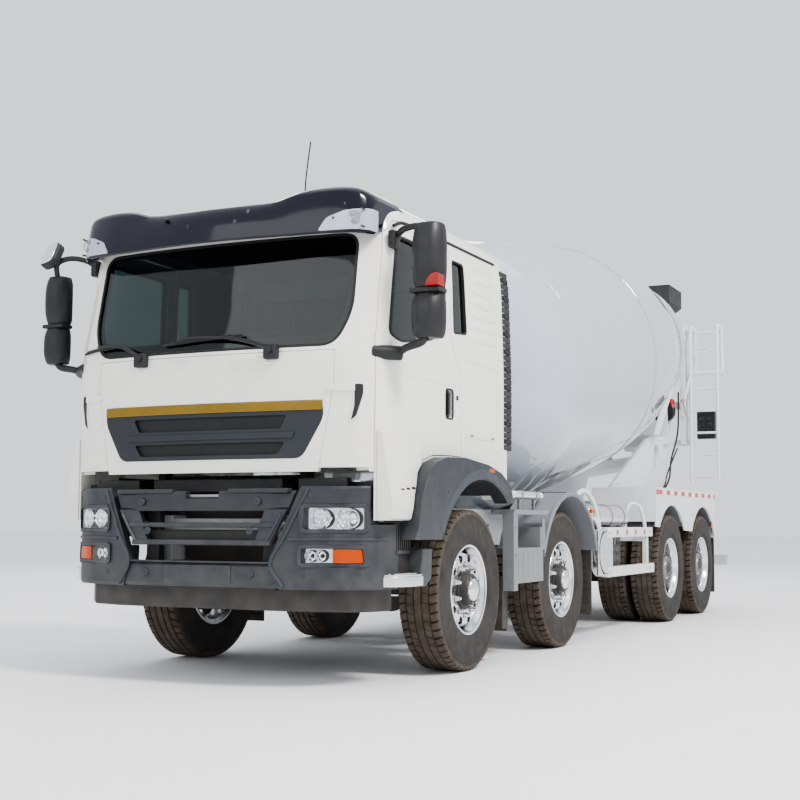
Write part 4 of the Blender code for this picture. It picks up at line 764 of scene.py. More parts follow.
def mixer_drum():
    """Smooth shell: dished front end, welded courses, track ring and rear cone with its lip."""
    skin = [(-0.06, 0.0), (-0.06, 0.20), (-0.03, 0.215), (0.03, 0.225), (0.046, 0.30), (0.048, 0.55)]
    for step in range(17):
        angle = radians(90 * step / 16)
        skin.append((0.05 + 1.05 * (1 - cos(angle)) ** 0.85, 0.60 + 0.60 * sin(angle)))
    body = [(1.8, 1.2), (2.6, 1.2), (3.2, 1.199), (3.6, 1.191), (4.05, 1.162), (4.5, 1.119),
            (4.95, 1.041), (5.4, 0.951), (5.75, 0.870), (6.02, 0.806)]
    smooth = [tuple(p)[:2] for p in smooth_path([(s, r, 0) for s, r in [skin[-1]] + body], 4)]
    skin += smooth[1:]
    ring = [(6.02, 0.826), (6.025, 0.831), (6.175, 0.831), (6.18, 0.826), (6.18, 0.768)]
    cone = [(6.40, 0.716), (6.62, 0.664), (6.785, 0.625), (6.79, 0.634), (6.805, 0.634), (6.81, 0.625)]
    inner = [(6.80, 0.602), (6.10, 0.755), (5.40, 0.93), (4.5, 1.095), (3.45, 1.18), (1.1, 1.18),
             (0.45, 0.98), (0.08, 0.58), (0.0, 0.0)]
    profile = skin + ring + cone + inner
    shape = Shape()
    bm = bmesh.new()
    steps = 112
    rings = []
    for step in range(steps):
        angle = 2 * pi * step / steps
        rings.append([bm.verts.new((r * sin(angle), s, r * cos(angle))) for s, r in profile])
    for step in range(steps):
        strip(bm, rings[step], rings[(step + 1) % steps], False)
    bmesh.ops.remove_doubles(bm, verts=bm.verts, dist=1e-6)
    bmesh.ops.recalc_face_normals(bm, faces=bm.faces)
    shape.take(bm, "drum", move=DRUM_PLACE)
    along = DRUM_PLACE.to_3x3() @ Vector((0, 1, 0))
    for s, width in ((1.14, 0.012), (2.30, 0.010), (3.45, 0.010), (4.50, 0.012), (5.40, 0.012)):
        r = drum_radius(s)
        slope = 0.0 if s < 3.4 else -0.13
        shape.lathe([(-width, r - 0.004 - slope * width), (-width * 0.6, r + 0.0012 - slope * width * 0.6),
                     (0, r + 0.0028), (width * 0.6, r + 0.0012 + slope * width * 0.6),
                     (width, r - 0.004 + slope * width)],
                    drum_point(0, s, 0), "drum", axis=along, steps=112, closed=True)
    shape.lathe([(-0.012, 0.60), (-0.012, 0.640), (0.012, 0.640), (0.012, 0.60)],
                drum_point(0, 6.70, 0), "steel", axis=along, steps=96)
    for index in range(16):
        angle = 2 * pi * index / 16
        spot = Vector((0.27 * sin(angle), 0.044, 0.27 * cos(angle)))
        back = spot + Vector((0, -0.018, 0))
        shape.rod(DRUM_PLACE @ spot, DRUM_PLACE @ back, 0.013, "steel", 6)
    for angle in (radians(285), radians(195)):
        middle = Vector((1.198 * sin(angle), 1.75, 1.198 * cos(angle)))
        normal = Vector((sin(angle), 0, cos(angle)))
        turn = normal.to_track_quat("Z", "Y").to_matrix().to_4x4()
        local = DRUM_PLACE @ Matrix.Translation(middle) @ turn
        outline = rounded([(-0.20, -0.26), (0.20, -0.26), (0.20, 0.26), (-0.20, 0.26)], 0.10)
        shape.prism(outline, 2, -0.03, 0.008, "drum", 0.004, 2, move=local)
        for corner in rounded([(-0.17, -0.23), (0.17, -0.23), (0.17, 0.23), (-0.17, 0.23)], 0.05, 1):
            spot = local @ Vector((corner[0], corner[1], 0.004))
            top = local @ Vector((corner[0], corner[1], 0.020))
            shape.rod(spot, top, 0.010, "steel", 6)
    blades = Shape()
    for start in (0.0, pi):
        bm = bmesh.new()
        previous = None
        for step in range(150):
            s = 1.0 + 5.6 * step / 149
            angle = start + 2.9 * 2 * pi * step / 149
            outer = drum_radius(max(s, 1.1)) - 0.022
            inside = outer - (0.34 if s < 5.2 else 0.34 - 0.12 * (s - 5.2) / 1.4)
            pair = []
            for radius, drop in ((outer, 0.0), (inside, -0.05)):
                for thick in (-0.004, 0.004):
                    pair.append(bm.verts.new((radius * sin(angle), s + drop + thick, radius * cos(angle))))
            if previous:
                a, b, c, d = previous
                e, f, g, h = pair
                bm.faces.new((a, c, g, e))
                bm.faces.new((b, f, h, d))
                bm.faces.new((c, d, h, g))
                bm.faces.new((a, e, f, b))
            else:
                bm.faces.new((pair[0], pair[1], pair[3], pair[2]))
            previous = pair
        bm.faces.new((previous[0], previous[2], previous[3], previous[1]))
        bmesh.ops.recalc_face_normals(bm, faces=bm.faces)
        blades.take(bm, "cast", move=DRUM_PLACE)
    shape.finish("drum_shell", "drum", "drum_paint", ("mixer_drum",), 32)
    blades.finish("drum_blades", "drum", "cast_metal")


mixer_drum()


# ------------------------------------------------------------------ cab surface

CAB_FRONT = -1.42
CAB_REAR = 0.77
CAB_HALF = 1.14
# Cutters for the front begin ahead of the cab and end behind the panel's or the screen's skin.
AHEAD = -1.7
PANEL_BACK = -1.2
SCREEN_BACK = -1.05
LEVELS = [tuple(p) for p in smooth_path([
    Vector((1.10, 0.0, 0.0, 0.0)), Vector((1.60, 0.0, 0.0, 0.0)), Vector((2.02, 0.002, 0.0, 0.0)),
    Vector((2.36, 0.062, 0.004, 0.008)), Vector((2.70, 0.128, 0.012, 0.020)),
    Vector((2.84, 0.172, 0.050, 0.044)), Vector((2.935, 0.262, 0.150, 0.112)),
    Vector((2.99, 0.372, 0.270, 0.215)), Vector((3.018, 0.52, 0.43, 0.37))], 4)]


def level_at(z):
    """Lean of the front, tail and side of the cab's skin at one height."""
    for low, high in zip(LEVELS, LEVELS[1:]):
        if z <= high[0]:
            share = max((z - low[0]) / (high[0] - low[0]), 0.0)
            return [a + (b - a) * share for a, b in zip(low[1:], high[1:])]
    return LEVELS[-1][1:]


def plan(z, inset=0.0):
    """Dense plan outline of the cab's skin at one height."""
    lean, tail, side = level_at(z)
    front = CAB_FRONT + lean + inset
    rear = CAB_REAR - tail - inset
    half = CAB_HALF - side - inset
    shape = [(0.0, 0.0), (0.45 * half / CAB_HALF, 0.015), (0.75 * half / CAB_HALF, 0.04),
             (half - 0.19, 0.075), (half - 0.09, 0.12), (half - 0.03, 0.178), (half, 0.27)]
    knots = [(-x, front + y, 0.0) for x, y in reversed(shape[1:])] + [(x, front + y, 0.0) for x, y in shape]
    points = [(p.x, p.y) for p in smooth_path(knots, 5)]
    points += [(half, front + 0.45), (half, rear - 0.5), (half, rear - 0.12)]
    points += arc((half - 0.10, rear - 0.10), 0.10, 0, 90, 6)
    points += [(half * 0.5, rear), (0.0, rear), (-half * 0.5, rear)]
    points += arc((0.10 - half, rear - 0.10), 0.10, 90, 180, 6)
    points += [(-half, rear - 0.12), (-half, rear - 0.5), (-half, front + 0.45)]
    return points


def cab_form(low, inset=0.0, drop=0.0):
    """The cab's closed form above a height, set in by the given amount."""
    levels = [low] + [level[0] for level in LEVELS if level[0] > low + 0.02]
    bm = bmesh.new()
    rings = []
    for z in levels:
        rings.append([bm.verts.new((x, y, z - (drop if z > 2.0 else 0.0))) for x, y in plan(z, inset)])
    return lofted(bm, rings, "form")


def front_y(x, z=1.6):
    """Where the cab's front skin lies at a place across the cab."""
    points = [p for p in plan(z) if p[1] < CAB_FRONT + level_at(z)[0] + 0.3]
    points.sort()
    for (x0, y0), (x1, y1) in zip(points, points[1:]):
        if x0 <= x <= x1:
            return y0 + (y1 - y0) * (x - x0) / max(x1 - x0, 1e-9)
    return points[-1][1]


def grown(outline, amount):
    """Push a plane outline out, or in when the amount is negative."""
    outline = centred(outline)
    points = []
    count = len(outline)
    for index, point in enumerate(outline):
        here = Vector(point)
        first = (here - Vector(outline[index - 1])).normalized()
        second = (Vector(outline[(index + 1) % count]) - here).normalized()
        middle = (Vector((first.y, -first.x)) + Vector((second.y, -second.x))).normalized()
        reach = amount / max(middle.dot(Vector((first.y, -first.x))), 0.5)
        points.append(tuple(here + middle * reach))
    return points


def plate(outline, axis, low, high):
    """Boolean tool: a plane outline drawn out along one axis."""
    return solid(lambda s: s.prism(outline, axis, low, high, "cab"))


def block(low, high):
    """Boolean tool: a plain box."""
    return solid(lambda s: s.box(low, high, "cab", 0))


def split_across(bm, places):
    """Cut every face that crosses one of the given x places, so that the mesh can bend there."""
    for x in places:
        geom = bm.verts[:] + bm.edges[:] + bm.faces[:]
        bmesh.ops.bisect_plane(bm, geom=geom, plane_co=(x, 0, 0), plane_no=(1, 0, 0))


def lay_on(shape, surface):
    """Move what was drawn on a flat front back onto a curved one, given as y over x."""
    for vertex in shape.bm.verts:
        vertex.co.y += surface(vertex.co.x)


# ------------------------------------------------------------------ cab body

ARCH_EDGE = [(-1.04, 0.875), (-1.00, 0.95), (-0.95, 1.13), (-0.86, 1.27), (-0.74, 1.35), (-0.58, 1.39),
             (-0.30, 1.40), (0.10, 1.37), (0.34, 1.32), (0.50, 1.24), (0.57, 1.116)]
SEAM = 0.006
DOOR = ([(-1.06, 2.81), (-1.14, 2.72), (-1.27, 2.04), (-1.27, 0.99), (-1.01, 0.99)]
        + [(y, z + 0.016) for y, z in ARCH_EDGE[2:7]]
        + [(-0.14, 1.416), (-0.14, 1.95), (-0.30, 2.17), (-0.30, 2.81)])
WINDOW = rounded([(-1.19, 2.09), (-1.075, 2.66), (-1.02, 2.725), (-0.37, 2.725), (-0.37, 2.22), (-0.60, 2.13),
                  (-1.04, 2.06)], 0.06, 5)
QUARTER = rounded([(-0.255, 2.22), (-0.255, 2.72), (-0.06, 2.72), (-0.03, 2.24)], 0.035, 4)
SCREEN = rounded([(-0.865, 2.02), (0.865, 2.02), (0.955, 2.22), (0.945, 2.72), (-0.945, 2.72),
                  (-0.955, 2.22)], 0.10, 7)
PANEL = [(-0.765, 1.276), (0.765, 1.276), (0.86, 1.80), (0.86, 1.995), (-0.86, 1.995), (-0.86, 1.80)]
GRILLE = rounded([(-0.66, 1.355), (0.66, 1.355), (0.80, 1.60), (0.79, 1.70), (-0.79, 1.70),
                  (-0.80, 1.60)], 0.05, 4)


def cab_body():
    """The cab's shell with its seams and openings, and the arms that it tilts on."""
    wheel = arc((0.0, WHEEL_Z), 0.7425, 0, 354, 60)
    tools = [cab_form(1.36, 0.05, 0.05), block((-1.06, -1.7, 1.0), (1.06, 1.0, 1.30)),
             block((-1.3, -1.7, 1.0), (1.3, 0.0, 1.276)), plate(wheel, 0, -1.3, 1.3),
             plate(grown(SCREEN, 0.002), 1, AHEAD, SCREEN_BACK)]
    panel_room = carve(plate(grown(PANEL, 0.003), 1, AHEAD, PANEL_BACK), [cab_form(1.0, 0.028)])
    tools.append(panel_room)
    for low, high in ((0.95, 1.3), (-1.3, -0.95)):
        tools.append(plate(grown(DOOR, SEAM), 0, low, high))
        tools.append(plate(QUARTER, 0, low, high))
    for side in (1, -1):
        low, high = span(side, 1.1355, 1.2)
        flap = block((low, -0.075, 1.545), (high, 0.495, 2.065))
        inside = block((low - 0.1, -0.075 + SEAM, 1.545 + SEAM), (high + 0.1, 0.495 - SEAM, 2.065 - SEAM))
        tools.append(carve(flap, [inside]))
    shell = carve(cab_form(1.14), tools)
    shape = Shape()
    shape.mesh_of(shell, "cab", 0.004, 2)
    for side in (1, -1):
        low, high = span(side, 0.50, 0.56)
        pivot_y, pivot_z = -1.31, 0.92
        arm = [(pivot_y - 0.045, pivot_z - 0.02), (pivot_y - 0.02, pivot_z - 0.045),
               (pivot_y + 0.25, pivot_z - 0.045), (pivot_y + 0.25, 1.32), (pivot_y + 0.17, 1.32),
               (pivot_y + 0.17, pivot_z + 0.06), (pivot_y - 0.02, pivot_z + 0.045),
               (pivot_y - 0.045, pivot_z + 0.02)]
        shape.prism(arm, 0, low, high, "cast", 0.006)
    shape.finish("cab_body", "cab", "white_paint", ("cab_shell",), 30)


def skin_piece(outline, axis, low, high, inset, depth):
    """A piece of the cab's skin inside an outline, from one depth to another."""
    made = carve(cab_form(0.95, inset), [plate(outline, axis, low, high)], "INTERSECT")
    return carve(made, [cab_form(0.90, inset + depth)])


def cab_glazing():
    """Windscreen, quarter windows and door windows, each in its seal."""
    shape = Shape()
    shape.mesh_of(skin_piece(grown(SCREEN, -0.004), 1, AHEAD, SCREEN_BACK, 0.010, 0.006), "glass", 0.0015, 1)
    shape.finish("screen_glass", "cab", "glass", ("windscreen",), 40)
    seal = Shape()
    ring = skin_piece(SCREEN, 1, AHEAD, SCREEN_BACK, 0.001, 0.022)
    seal.mesh_of(carve(ring, [plate(grown(SCREEN, -0.016), 1, -1.75, -1.0)]), "rubber", 0.002, 2)
    band = skin_piece(grown(SCREEN, -0.012), 1, AHEAD, SCREEN_BACK, 0.0175, 0.003)
    clear = rounded([(-0.83, 2.09), (0.83, 2.09), (0.90, 2.24), (0.895, 2.685), (-0.895, 2.685),
                     (-0.90, 2.24)], 0.08, 6)
    seal.mesh_of(carve(band, [plate(clear, 1, -1.75, -1.0)]), "gloss_black")
    seal.finish("screen_seal", "cab", "rubber")
    for name, side in SIDES:
        low, high = span(side, 0.9, 1.3)
        pane = Shape()
        pane.mesh_of(skin_piece(grown(QUARTER, -0.004), 0, low, high, 0.016, 0.005), "glass", 0.001, 1)
        pane.finish(f"quarter_glass_{name}", "cab", "glass")
        pane = Shape()
        pane.mesh_of(skin_piece(grown(WINDOW, -0.004), 0, low, high, 0.020, 0.005), "glass", 0.001, 1)
        pane.finish(f"window_glass_{name}", f"door_{name}", "glass", (f"door_glass_{name}",))
        frame_shape = Shape()
        ring = skin_piece(QUARTER, 0, low, high, -0.002, 0.028)
        frame_shape.mesh_of(carve(ring, [plate(grown(QUARTER, -0.013), 0, low - 0.1, high + 0.1)]),
                            "rubber", 0.003, 2)
        frame_shape.finish(f"quarter_seal_{name}", "cab", "rubber")
        frame_shape = Shape()
        ring = skin_piece(WINDOW, 0, low, high, -0.002, 0.030)
        frame_shape.mesh_of(carve(ring, [plate(grown(WINDOW, -0.016), 0, low - 0.1, high + 0.1)]),
                            "rubber", 0.003, 2)
        frame_shape.finish(f"window_seal_{name}", f"door_{name}", "rubber")


def doors():
    """Door skins with their crease and handle pocket, hinge leaves and trim."""
    for name, side in SIDES:
        low, high = span(side, 0.9, 1.6)
        body = cab_form(0.95)
        skirt = [(1.10, 0.992), (1.186, 0.992), (1.196, 1.002)]
        for step in range(9):
            share = step / 8
            skirt.append((1.199 - 0.0605 * (3 * share ** 2 - 2 * share ** 3), 1.06 + 0.44 * share))
        skirt += [(1.10, 1.52)]
        outline = [(side * x, z) for x, z in skirt]
        flare = solid(lambda s: s.prism(outline, 1, -1.27, -0.78, "cab"))
        body = carve(body, [flare], "UNION")
        body = carve(body, [plate(DOOR, 0, low, high)], "INTERSECT")
        foot_low, foot_high = span(side, 0.8, 1.08)
        tools = [cab_form(0.90, 0.05), plate(WINDOW, 0, low, high),
                 block((foot_low, -1.5, 0.8), (foot_high, 0.0, 1.284))]
        crease_low, crease_high = span(side, 1.1375, 1.3)
        tools.append(block((crease_low, -1.40, 1.868), (crease_high, -0.05, 1.873)))
        handle_low, handle_high = span(side, 1.112, 1.3)
        pocket = rounded([(-0.385, 1.655), (-0.265, 1.655), (-0.265, 1.845), (-0.385, 1.845)], 0.03, 4)
        tools.append(plate(pocket, 0, handle_low, handle_high))
        body = carve(body, tools)
        shape = Shape()
        shape.mesh_of(body, "cab", 0.004, 2)
        for z in (1.50, 1.90):
            leaf_low, leaf_high = span(side, 1.03, 1.06)
            shape.box((leaf_low, -1.2777, z - 0.04), (leaf_high, -1.26, z + 0.04), "steel", 0.002)
        shape.finish(f"door_skin_{name}", f"door_{name}", "white_paint", (f"door_{name}",), 30)
        trim = Shape(side)
        trim.prism(grown(pocket, -0.001), 0, 1.108, 1.1135, "black", 0.001)
        rim = grown(pocket, 0.008)
        ring = carve(plate(rim, 0, 1.134, 1.1425), [plate(grown(pocket, -0.004), 0, 1.0, 1.3)])
        trim.mesh_of(ring, "black", 0.003, 2)
        trim.box((1.122, -0.350, 1.675), (1.1475, -0.318, 1.825), "gloss_black", 0.010, 4)
        trim.rod((1.136, -0.205, 1.80), (1.150, -0.205, 1.80), 0.015, "black")
        trim.rod((1.150, -0.205, 1.80), (1.152, -0.205, 1.80), 0.009, "chrome")
        for index in range(3):
            y = -1.13 + index * 0.075
            trim.box((1.178, y, 1.165 + index * 0.006), (1.190, y + 0.05, 1.182 + index * 0.006),
                     "black", 0.005)
        trim.box((1.05, -1.262, 1.36), (1.092, -0.16, 1.44), "trim", 0.01)
        trim.box((1.025, -1.05, 1.60), (1.090, -0.20, 1.72), "trim", 0.02)
        trim.finish(f"door_trim_{name}", f"door_{name}", "dark_plastic")


def front_panel():
    """The front flap: grille frame, net, gold strip, seams and corner vents."""
    grille_room = carve(plate(GRILLE, 1, AHEAD, PANEL_BACK), [cab_form(1.0, 0.040)])
    base = skin_piece(PANEL, 1, AHEAD, PANEL_BACK, 0.0, 0.027)
    base = carve(base, [grille_room])
    shape = Shape()
    shape.mesh_of(base, "cab", 0.0035, 2)
    shape.finish("panel_skin", "cab", "white_paint", ("front_panel",), 30)

    trim = Shape()
    frame_ring = carve(plate(grown(GRILLE, -0.001), 1, -0.004, 0.030),
                       [plate(rounded([(-foot, low), (foot, low), (head, high), (-head, high)], 0.02, 3),
                              1, -0.1, 0.1)
                        for foot, low, head, high in ((0.52, 1.535, 0.56, 1.615),
                                                      (0.50, 1.382, 0.55, 1.455))])
    trim.mesh_of(frame_ring, "slate", 0.006, 3)
    bar = [(-0.60, 1.475), (0.60, 1.475), (0.62, 1.515), (-0.62, 1.515)]
    trim.prism(bar, 1, -0.014, 0.0, "slate", 0.006, 3)
    gold = [(-0.793, 1.640), (0.793, 1.640), (0.792, 1.697), (-0.792, 1.697)]
    trim.prism(gold, 1, -0.0125, 0.004, "gold", 0.004, 3)
    bright = [(-0.795, 1.699), (0.795, 1.699), (0.795, 1.704), (-0.795, 1.704)]
    trim.prism(bright, 1, -0.006, 0.01, "chrome", 0.001)
    trim.box((-0.60, 0.020, 1.37), (0.60, 0.026, 1.63), "black", 0.0)
    split_across(trim.bm, [index * 0.06 for index in range(-18, 19)])
    lay_on(trim, front_y)
    trim.finish("grille_frame", "cab", "dark_plastic")

    net = Shape()
    for low, high, half in ((1.532, 1.618, 0.56), (1.378, 1.458, 0.55)):
        pitch = 0.0165
        count = int(2 * half / pitch)
        rows = int((high - low) / (pitch * 0.55))
        for row in range(rows):
            z = low + (row + 0.5) * (high - low) / rows
            bm = bmesh.new()
            upper = []
            lower = []
            for index in range(count * 2 + 1):
                x = -half + index * pitch / 2
                lift = 0.0045 * (1 if (index + row) % 2 else -1)
                upper.append((x, z + lift + 0.0012))
                lower.append((x, z + lift - 0.0012))
            for corners in zip(upper, upper[1:], lower[1:], lower):
                bm.faces.new([bm.verts.new((x, 0.010, z)) for x, z in corners])
            bmesh.ops.remove_doubles(bm, verts=bm.verts, dist=1e-6)
            net.take(bm, "black")
    lay_on(net, front_y)
    net.finish("grille_net", "cab", "dark_plastic", weighted=False)

    marks = Shape()
    for side in (1, -1):
        for index in range(4):
            z = 1.962 - index * 0.026
            start = 0.16 + index * 0.012
            low, high = span(side, start, start + 0.27)
            marks.box((low, -0.0075, z - 0.006), (high, 0.006, z + 0.006), "cab", 0.0055, 3)
    seam = smooth_path([(-0.86, 0.0, 1.955), (-0.62, 0.0, 1.905), (-0.42, 0.0, 1.855), (-0.30, 0.0, 1.842),
                        (0.0, 0.0, 1.838), (0.30, 0.0, 1.842), (0.42, 0.0, 1.855), (0.62, 0.0, 1.905),
                        (0.86, 0.0, 1.955)], 8)
    marks.tube([(p.x, 0.0008, p.z) for p in seam], 0.0022, "rubber", 6, straight=True)
    lay_on(marks, front_y)
    marks.finish("panel_marks", "cab", "white_paint")

    for name, side in SIDES:
        pod = Shape(side)
        lip = [(0.80, 1.766), (0.87, 1.748), (0.99, 1.745), (0.99, 1.790), (0.965, 1.812), (0.90, 1.800)]
        pod.prism(lip, 1, -0.020, 0.02, "cab", 0.007, 3)
        pocket = rounded([(0.965, 1.57), (1.00, 1.60), (1.035, 1.73), (1.035, 1.79), (0.985, 1.79),
                          (0.985, 1.66)], 0.012, 3)
        pod.prism(grown(pocket, 0.010), 1, -0.010, 0.02, "cab", 0.006, 3)
        pod.prism(grown(pocket, -0.002), 1, -0.012, 0.0, "black", 0.002, 2)
        lay_on(pod, front_y)
        pod.finish(f"corner_vent_{name}", "cab", "white_paint")


cab_body()
cab_glazing()
doors()
front_panel()


# ------------------------------------------------------------------ visor, wipers, mirrors, aerial

FRONT = -1.50
VISOR_FRONT = FRONT + 0.004
VISOR_KNOTS = [(-1.06, 2.905, 0.215), (-1.03, 2.945, 0.165), (-0.96, 2.978, 0.115), (-0.80, 2.984, 0.075),
               (-0.62, 2.970, 0.055), (-0.44, 2.925, 0.035), (-0.20, 2.918, 0.012), (0.0, 2.918, 0.006),
               (0.20, 2.918, 0.012), (0.44, 2.925, 0.035), (0.62, 2.970, 0.055), (0.80, 2.984, 0.075),
               (0.96, 2.978, 0.115), (1.03, 2.945, 0.165), (1.06, 2.905, 0.215)]


def visor_form(out=0.0):
    bm = bmesh.new()
    rings = []
    for x, top, back in smooth_path([Vector(knot) for knot in VISOR_KNOTS], 5):
        y = VISOR_FRONT + back - out
        section = [(y + 0.42, 2.79), (y + 0.08, 2.715), (y + 0.03, 2.690), (y + 0.010, 2.684), (y, 2.692),
                   (y - 0.001, 2.712), (y + 0.004, 2.76), (y + 0.014, 2.83), (y + 0.032, top - 0.05),
                   (y + 0.050, top - 0.022), (y + 0.078, top - 0.006), (y + 0.12, top),
                   (y + 0.42, top + 0.002)]
        rings.append([bm.verts.new((x * (1 + out / 2), py, pz)) for py, pz in section])
    return lofted(bm, rings, "visor")


def sun_visor():
    """Dark visor with its fixing pads, and a clear lamp panel at each end."""
    shape = Shape()
    shape.mesh_of(carve(visor_form(), [cab_form(1.0, -0.001)]), "navy", 0.003, 2)
    pads = [(x, 2.86) for x in (-0.92, 0.92, -0.30, 0.30)] + [(-0.12, 2.80), (0.22, 2.80)]
    for x, z in pads:
        y = VISOR_FRONT + 0.02 + next(k[2] for k in VISOR_KNOTS if k[0] >= x - 0.05)
        shape.rod((x, y - 0.012, z), (x, y + 0.02, z), 0.014, "gloss_black", 16)
    shape.finish("visor_skin", "cab", "visor_plastic", ("sun_visor",), 34)
    for name, side in SIDES:
        panel = rounded([(side * 0.775, 2.698), (side * 1.10, 2.706), (side * 1.10, 2.842),
                         (side * 0.93, 2.820), (side * 0.825, 2.778)], 0.018, 4)
        lens = carve(visor_form(0.0045), [plate(panel, 1, AHEAD, PANEL_BACK)], "INTERSECT")
        lens = carve(lens, [visor_form(0.0)])
        made = Shape()
        made.mesh_of(lens, "visor_lamp", 0.0012, 1)
        for x, z in ((0.80, 2.712), (1.035, 2.722), (1.035, 2.825), (0.87, 2.775)):
            y = VISOR_FRONT + 0.075 + (0.07 if x > 1.0 else 0.015)
            made.rod((side * x, y - 0.012, z), (side * x, y + 0.03, z), 0.006, "gloss_black", 12)
        made.finish(f"visor_lamp_{name}", "cab", "glass")
        bulb = Shape()
        bulb.lathe([(0.0, 0.0), (-0.012, 0.012), (-0.018, 0.030), (-0.012, 0.040), (0.01, 0.042),
                    (0.01, 0.0)],
                   (side * 0.985, VISOR_FRONT + 0.135, 2.775), "lens", axis=(0, 1, 0), steps=32)
        bulb.finish(f"visor_bulb_{name}", "cab", "glass")


def wipers():
    """Two wipers: pivot box, arched arm and blade on the glass."""
    shape = Shape()
    for (x, z), tip in (((0.46, 1.995), (-0.18, 2.085)), ((-0.50, 1.99), (-0.86, 2.075))):
        y = front_y(x, 2.0)
        shape.box((x - 0.045, y - 0.045, z - 0.045), (x + 0.045, y + 0.01, z + 0.045), "black", 0.012, 3)
        shape.rod((x, y - 0.055, z + 0.01), (x, y - 0.03, z + 0.01), 0.022, "black")
        path = []
        for share in (0.0, 0.25, 0.5, 0.8, 1.0):
            px = x + (tip[0] - x) * share
            pz = z + 0.02 + (tip[1] - z) * share + 0.035 * sin(pi * share)
            path.append((px, front_y(px, 2.0) + level_at(pz)[0] - 0.045, pz))
        shape.tube(path, 0.009, "black", 8)
        shape.tube([(p[0], p[1] - 0.004, p[2] + 0.012) for p in path[:3]], 0.006, "black", 6)
        blade = []
        for step in range(9):
            px = tip[0] - 0.16 + (x - 0.05 - tip[0]) * step / 8
            pz = max(tip[1] - 0.008 + 0.004 * step, 2.045)
            blade.append((px, front_y(px, 2.0) + level_at(pz)[0] - 0.016, pz))
        shape.tube(blade, 0.008, "rubber", 8, 2)
        shape.tube([(p[0], p[1] - 0.014, p[2] + 0.005) for p in blade[1:-1]], 0.006, "black", 6, 2)
    shape.finish("wipers", "cab", "dark_plastic")


def mirror_head(shape, low, high):
    """A mirror housing: rounded front shell, flat glass behind a rim."""
    (x0, y0, z0), (x1, y1, z1) = low, high
    bm = bmesh.new()
    levels = 9
    rings = []
    for level in range(levels + 1):
        share = level / levels
        z = z0 + (z1 - z0) * share
        squeeze = 0.02 * (abs(share - 0.5) * 2) ** 4
        depth = (y1 - y0) * (1 - 0.25 * (abs(share - 0.5) * 2) ** 3)
        outline = rounded([(x0 + squeeze, y1), (x0 + squeeze, y1 - depth * 0.6),
                           (x0 + 0.25 * (x1 - x0), y1 - depth),
                           (x1 - 0.25 * (x1 - x0), y1 - depth), (x1 - squeeze, y1 - depth * 0.6),
                           (x1 - squeeze, y1)], 0.045, 4)
        rings.append([bm.verts.new((px, py, z)) for px, py in outline])
    loft(bm, rings)
    bmesh.ops.recalc_face_normals(bm, faces=bm.faces)
    shape.take(bm, "black", 0.016, 3)
    outline = rounded([(x0 + 0.022, z0 + 0.020), (x1 - 0.022, z0 + 0.020), (x1 - 0.022, z1 - 0.020),
                       (x0 + 0.022, z1 - 0.020)], 0.025, 4)
    shape.prism(outline, 1, y1 - 0.012, y1 + 0.0015, "mirror", 0.001, 1)


def mirrors():
    """Two housings on tube arms at each door, and the kerb mirror on the right."""
    left = Shape(1)
    mirror_head(left, (1.285, -1.270, 2.345), (1.488, -1.110, 2.742))
    mirror_head(left, (1.285, -1.270, 2.055), (1.488, -1.120, 2.325))
    left.box((1.29, -1.245, 2.322), (1.483, -1.125, 2.350), "black", 0.006)
    lens = rounded([(1.405, 2.352), (1.4895, 2.352), (1.4895, 2.425), (1.45, 2.425), (1.415, 2.39)], 0.012, 3)
    left.prism(lens, 1, -1.272, -1.180, "red_lens", 0.004, 2)
    left.tube([(1.375, -1.19, 2.06), (1.34, -1.19, 2.030), (1.25, -1.185, 2.008), (1.19, -1.165, 1.985)],
              0.023, "black", 14)
    left.rod((1.050, -1.262, 1.985), (1.205, -1.150, 1.978), 0.044, "black", 24, 0.014)
    left.tube([(1.405, -1.17, 2.715), (1.30, -1.165, 2.735), (1.20, -1.14, 2.728), (1.135, -1.10, 2.700)],
              0.020, "black", 14)
    left.box((1.098, -1.150, 2.625), (1.150, -1.070, 2.735), "black", 0.014, 3)
    left.finish("mirror_unit_left", "door_left", "dark_plastic", ("mirror_left",), 34)
    right = Shape(-1)
    mirror_head(right, (1.300, -1.265, 2.30), (1.478, -1.115, 2.635))
    mirror_head(right, (1.300, -1.265, 2.035), (1.478, -1.125, 2.285))
    right.box((1.305, -1.24, 2.280), (1.473, -1.13, 2.305), "black", 0.006)
    right.tube([(1.38, -1.19, 2.05), (1.34, -1.19, 2.012), (1.25, -1.185, 1.995), (1.19, -1.165, 1.98)],
               0.023, "black", 14)
    right.rod((1.050, -1.262, 1.985), (1.205, -1.150, 1.978), 0.044, "black", 24, 0.014)
    right.tube([(1.40, -1.18, 2.62), (1.39, -1.20, 2.72), (1.30, -1.18, 2.755), (1.20, -1.14, 2.74),
                (1.135, -1.10, 2.700)], 0.018, "black", 14)
    right.box((1.098, -1.150, 2.625), (1.150, -1.070, 2.735), "black", 0.014, 3)
    turn = (Matrix.Translation((1.41, -1.245, 2.785)) @ Matrix.Rotation(radians(-28), 4, "X")
            @ Matrix.Rotation(radians(12), 4, "Z"))
    outline = rounded([(-0.068, -0.085), (0.068, -0.10), (0.075, 0.06), (0.02, 0.10), (-0.06, 0.085)],
                      0.05, 5)
    right.prism(outline, 1, -0.010, 0.055, "black", 0.016, 3, move=turn)
    right.prism(grown(outline, -0.012), 1, -0.014, 0.0, "mirror", 0.004, 2, move=turn)
    right.finish("mirror_unit_right", "door_right", "dark_plastic", ("mirror_right",), 34)


